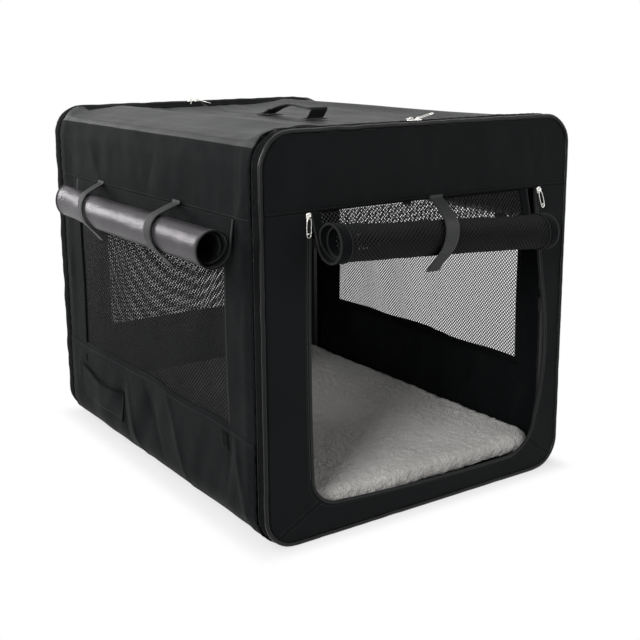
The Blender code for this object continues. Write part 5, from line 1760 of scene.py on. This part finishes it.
class CRATE_OT_frame(bpy.types.Operator):
    """Finish of the folding tube frame"""

    bl_idname = "crate.frame"
    bl_label = "Tube Frame"

    def execute(self, context):
        parts = {
            "powder_coated_tube": ("hoop", "rail_left", "rail_right"),
            "moulded_nylon": ("fork", "tongue"),
            "zinc_plated_steel": ("pin",),
        }
        for name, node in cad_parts.items():
            for look, endings in parts.items():
                if name.endswith(endings):
                    for place in node.material_slots:
                        place.material = look_of(look)
        return {"FINISHED"}


class CRATE_OT_studio(bpy.types.Operator):
    """Floor, light, background and camera"""

    bl_idname = "crate.studio"
    bl_label = "Studio"

    def execute(self, context):
        scene = context.scene
        self.floor()
        self.background(scene)
        self.lamps()
        self.camera(scene)
        scene.view_settings.view_transform = "Standard"
        return {"FINISHED"}

    def floor(self):
        mesh = bpy.data.meshes.new("studio_floor")
        mesh.from_pydata([(-9, -9, 0), (9, -9, 0), (9, 9, 0), (-9, 9, 0)], [], [(0, 1, 2, 3)])
        look = bpy.data.materials.new("studio_paper")
        look.use_nodes = True
        tree = look.node_tree
        tree.nodes.clear()
        seen = self.seen(tree)
        paper = add(tree, "ShaderNodeBsdfDiffuse", {"Color": (0.93, 0.93, 0.93, 1.0)})
        dark = add(tree, "ShaderNodeBsdfDiffuse", {"Color": (0.30, 0.30, 0.30, 1.0)})
        white = add(tree, "ShaderNodeEmission", {"Color": (1, 1, 1, 1), "Strength": 1.0})
        # The paper turns to pure white away from the crate's foot.
        away = add(tree, "ShaderNodeTexCoord").outputs["Object"]
        for operation, values in (("ABSOLUTE", {}), ("SUBTRACT", {1: (0.26, 0.335, 0.0)}),
                                  ("MAXIMUM", {1: (0.0, 0.0, 0.0)}), ("LENGTH", {})):
            step = add(tree, "ShaderNodeVectorMath", {0: away, **values}, operation=operation)
            away = step.outputs["Value" if operation == "LENGTH" else "Vector"]
        fade = add(tree, "ShaderNodeMapRange", {
            "Value": away, "From Min": 0.0, "From Max": 0.035, "To Min": 0.66, "To Max": 1.0,
        }, interpolation_type="SMOOTHSTEP")
        near = add(tree, "ShaderNodeMixShader",
                   {0: fade.outputs["Result"], 1: paper.outputs[0], 2: white.outputs[0]})
        both = add(tree, "ShaderNodeMixShader",
                   {0: seen, 1: dark.outputs[0], 2: near.outputs[0]})
        add(tree, "ShaderNodeOutputMaterial", {"Surface": both.outputs[0]})
        mesh.materials.append(look)
        floor = bpy.data.objects.new("studio_floor", mesh)
        bpy.context.scene.collection.objects.link(floor)

    def seen(self, tree):
        """1 for rays from the camera, a gloss or a clear surface."""
        path = add(tree, "ShaderNodeLightPath")
        first = add(tree, "ShaderNodeMath", {
            0: path.outputs["Is Camera Ray"], 1: path.outputs["Is Glossy Ray"],
        }, operation="MAXIMUM")
        return add(tree, "ShaderNodeMath", {
            0: first.outputs[0], 1: path.outputs["Is Transmission Ray"],
        }, operation="MAXIMUM").outputs[0]

    def background(self, scene):
        world = bpy.data.worlds.new("studio_white")
        world.use_nodes = True
        tree = world.node_tree
        tree.nodes.clear()
        seen = self.seen(tree)
        dim, white = [add(tree, "ShaderNodeBackground", {"Color": (1, 1, 1, 1), "Strength": level})
                      for level in (0.31, 1.0)]
        both = add(tree, "ShaderNodeMixShader",
                   {0: seen, 1: dim.outputs[0], 2: white.outputs[0]})
        add(tree, "ShaderNodeOutputWorld", {"Surface": both.outputs[0]})
        scene.world = world

    def lamps(self):
        lights = (
            ("overhead_softbox", (-0.3, 0.3, 2.3), (0.0, 0.0, 0.3), 2.0, 2.0, 14.0),
            ("key_softbox", (-2.2, -1.4, 1.25), (0.0, 0.0, 0.3), 0.9, 0.9, 42.0),
            ("strip_softbox", (-1.2, 2.43, 1.15), (-0.29, 0.0, 0.4), 0.5, 1.0, 30.0),
            ("fill_softbox", (1.7, -2.4, 1.5), (0.0, 0.0, 0.2), 1.4, 1.4, 9.0),
        )
        for name, place, target, width, height, power in lights:
            lamp = bpy.data.lights.new(name, "AREA")
            lamp.shape = "RECTANGLE"
            lamp.size, lamp.size_y = width, height
            lamp.energy = power
            thing = bpy.data.objects.new(name, lamp)
            thing.location = place
            thing.rotation_euler = (Vector(target) - Vector(place)).to_track_quat(
                "-Z", "Y").to_euler()
            bpy.context.scene.collection.objects.link(thing)

    def camera(self, scene):
        lens = bpy.data.cameras.new("photo_camera")
        lens.lens = 59.49
        lens.sensor_width = 36.0
        lens.shift_y = -0.075
        lens.clip_start = 0.05
        camera = bpy.data.objects.new("photo_camera", lens)
        yaw, pitch, roll = (math.radians(a) for a in (34.241, 12.233, -0.415))
        ahead = Vector((math.sin(yaw) * math.cos(pitch), math.cos(yaw) * math.cos(pitch),
                        -math.sin(pitch)))
        right = Vector((math.cos(yaw), -math.sin(yaw), 0.0))
        up = right.cross(ahead)
        across = math.cos(roll) * right + math.sin(roll) * up
        above = -math.sin(roll) * right + math.cos(roll) * up
        turn = Matrix((across, above, -ahead)).transposed()
        camera.matrix_world = Matrix.Translation((-0.9121, -1.4153, 0.6465)) @ turn.to_4x4()
        scene.collection.objects.link(camera)
        scene.camera = camera


class CRATE_PT_panel(bpy.types.Panel):
    """Lists the crate's sizes, colours and pieces"""

    bl_idname = "CRATE_PT_panel"
    bl_label = "Folding Crate"
    bl_space_type = "VIEW_3D"
    bl_region_type = "UI"
    bl_category = "Crate"

    def draw(self, context):
        layout = self.layout
        for label, group in (("Sizes", context.scene.crate_sizes),
                             ("Colours", context.scene.crate_colours)):
            box = layout.box()
            box.label(text=label)
            for name in group.__annotations__:
                box.prop(group, name)
        box = layout.box()
        box.label(text="Pieces")
        for each in OPERATORS:
            box.operator(each.bl_idname)


OPERATORS = (
    CRATE_OT_frame, CRATE_OT_walls, CRATE_OT_top, CRATE_OT_front, CRATE_OT_rear, CRATE_OT_rings,
    CRATE_OT_nets, CRATE_OT_door, CRATE_OT_flaps, CRATE_OT_pocket, CRATE_OT_mat,
    CRATE_OT_handle, CRATE_OT_zips, CRATE_OT_studio,
)
CLASSES = (CrateSizes, CrateColours, *OPERATORS, CRATE_PT_panel)


def register():
    for each in CLASSES:
        bpy.utils.register_class(each)
    bpy.types.Scene.crate_sizes = bpy.props.PointerProperty(type=CrateSizes)
    bpy.types.Scene.crate_colours = bpy.props.PointerProperty(type=CrateColours)


def unregister():
    del bpy.types.Scene.crate_colours
    del bpy.types.Scene.crate_sizes
    for each in reversed(CLASSES):
        bpy.utils.unregister_class(each)


def main():
    register()
    for each in OPERATORS:
        name = each.bl_idname.split(".")[1]
        if getattr(bpy.ops.crate, name)() != {"FINISHED"}:
            raise RuntimeError(f"crate.{name} did not finish")


if __name__ == "__main__":
    main()
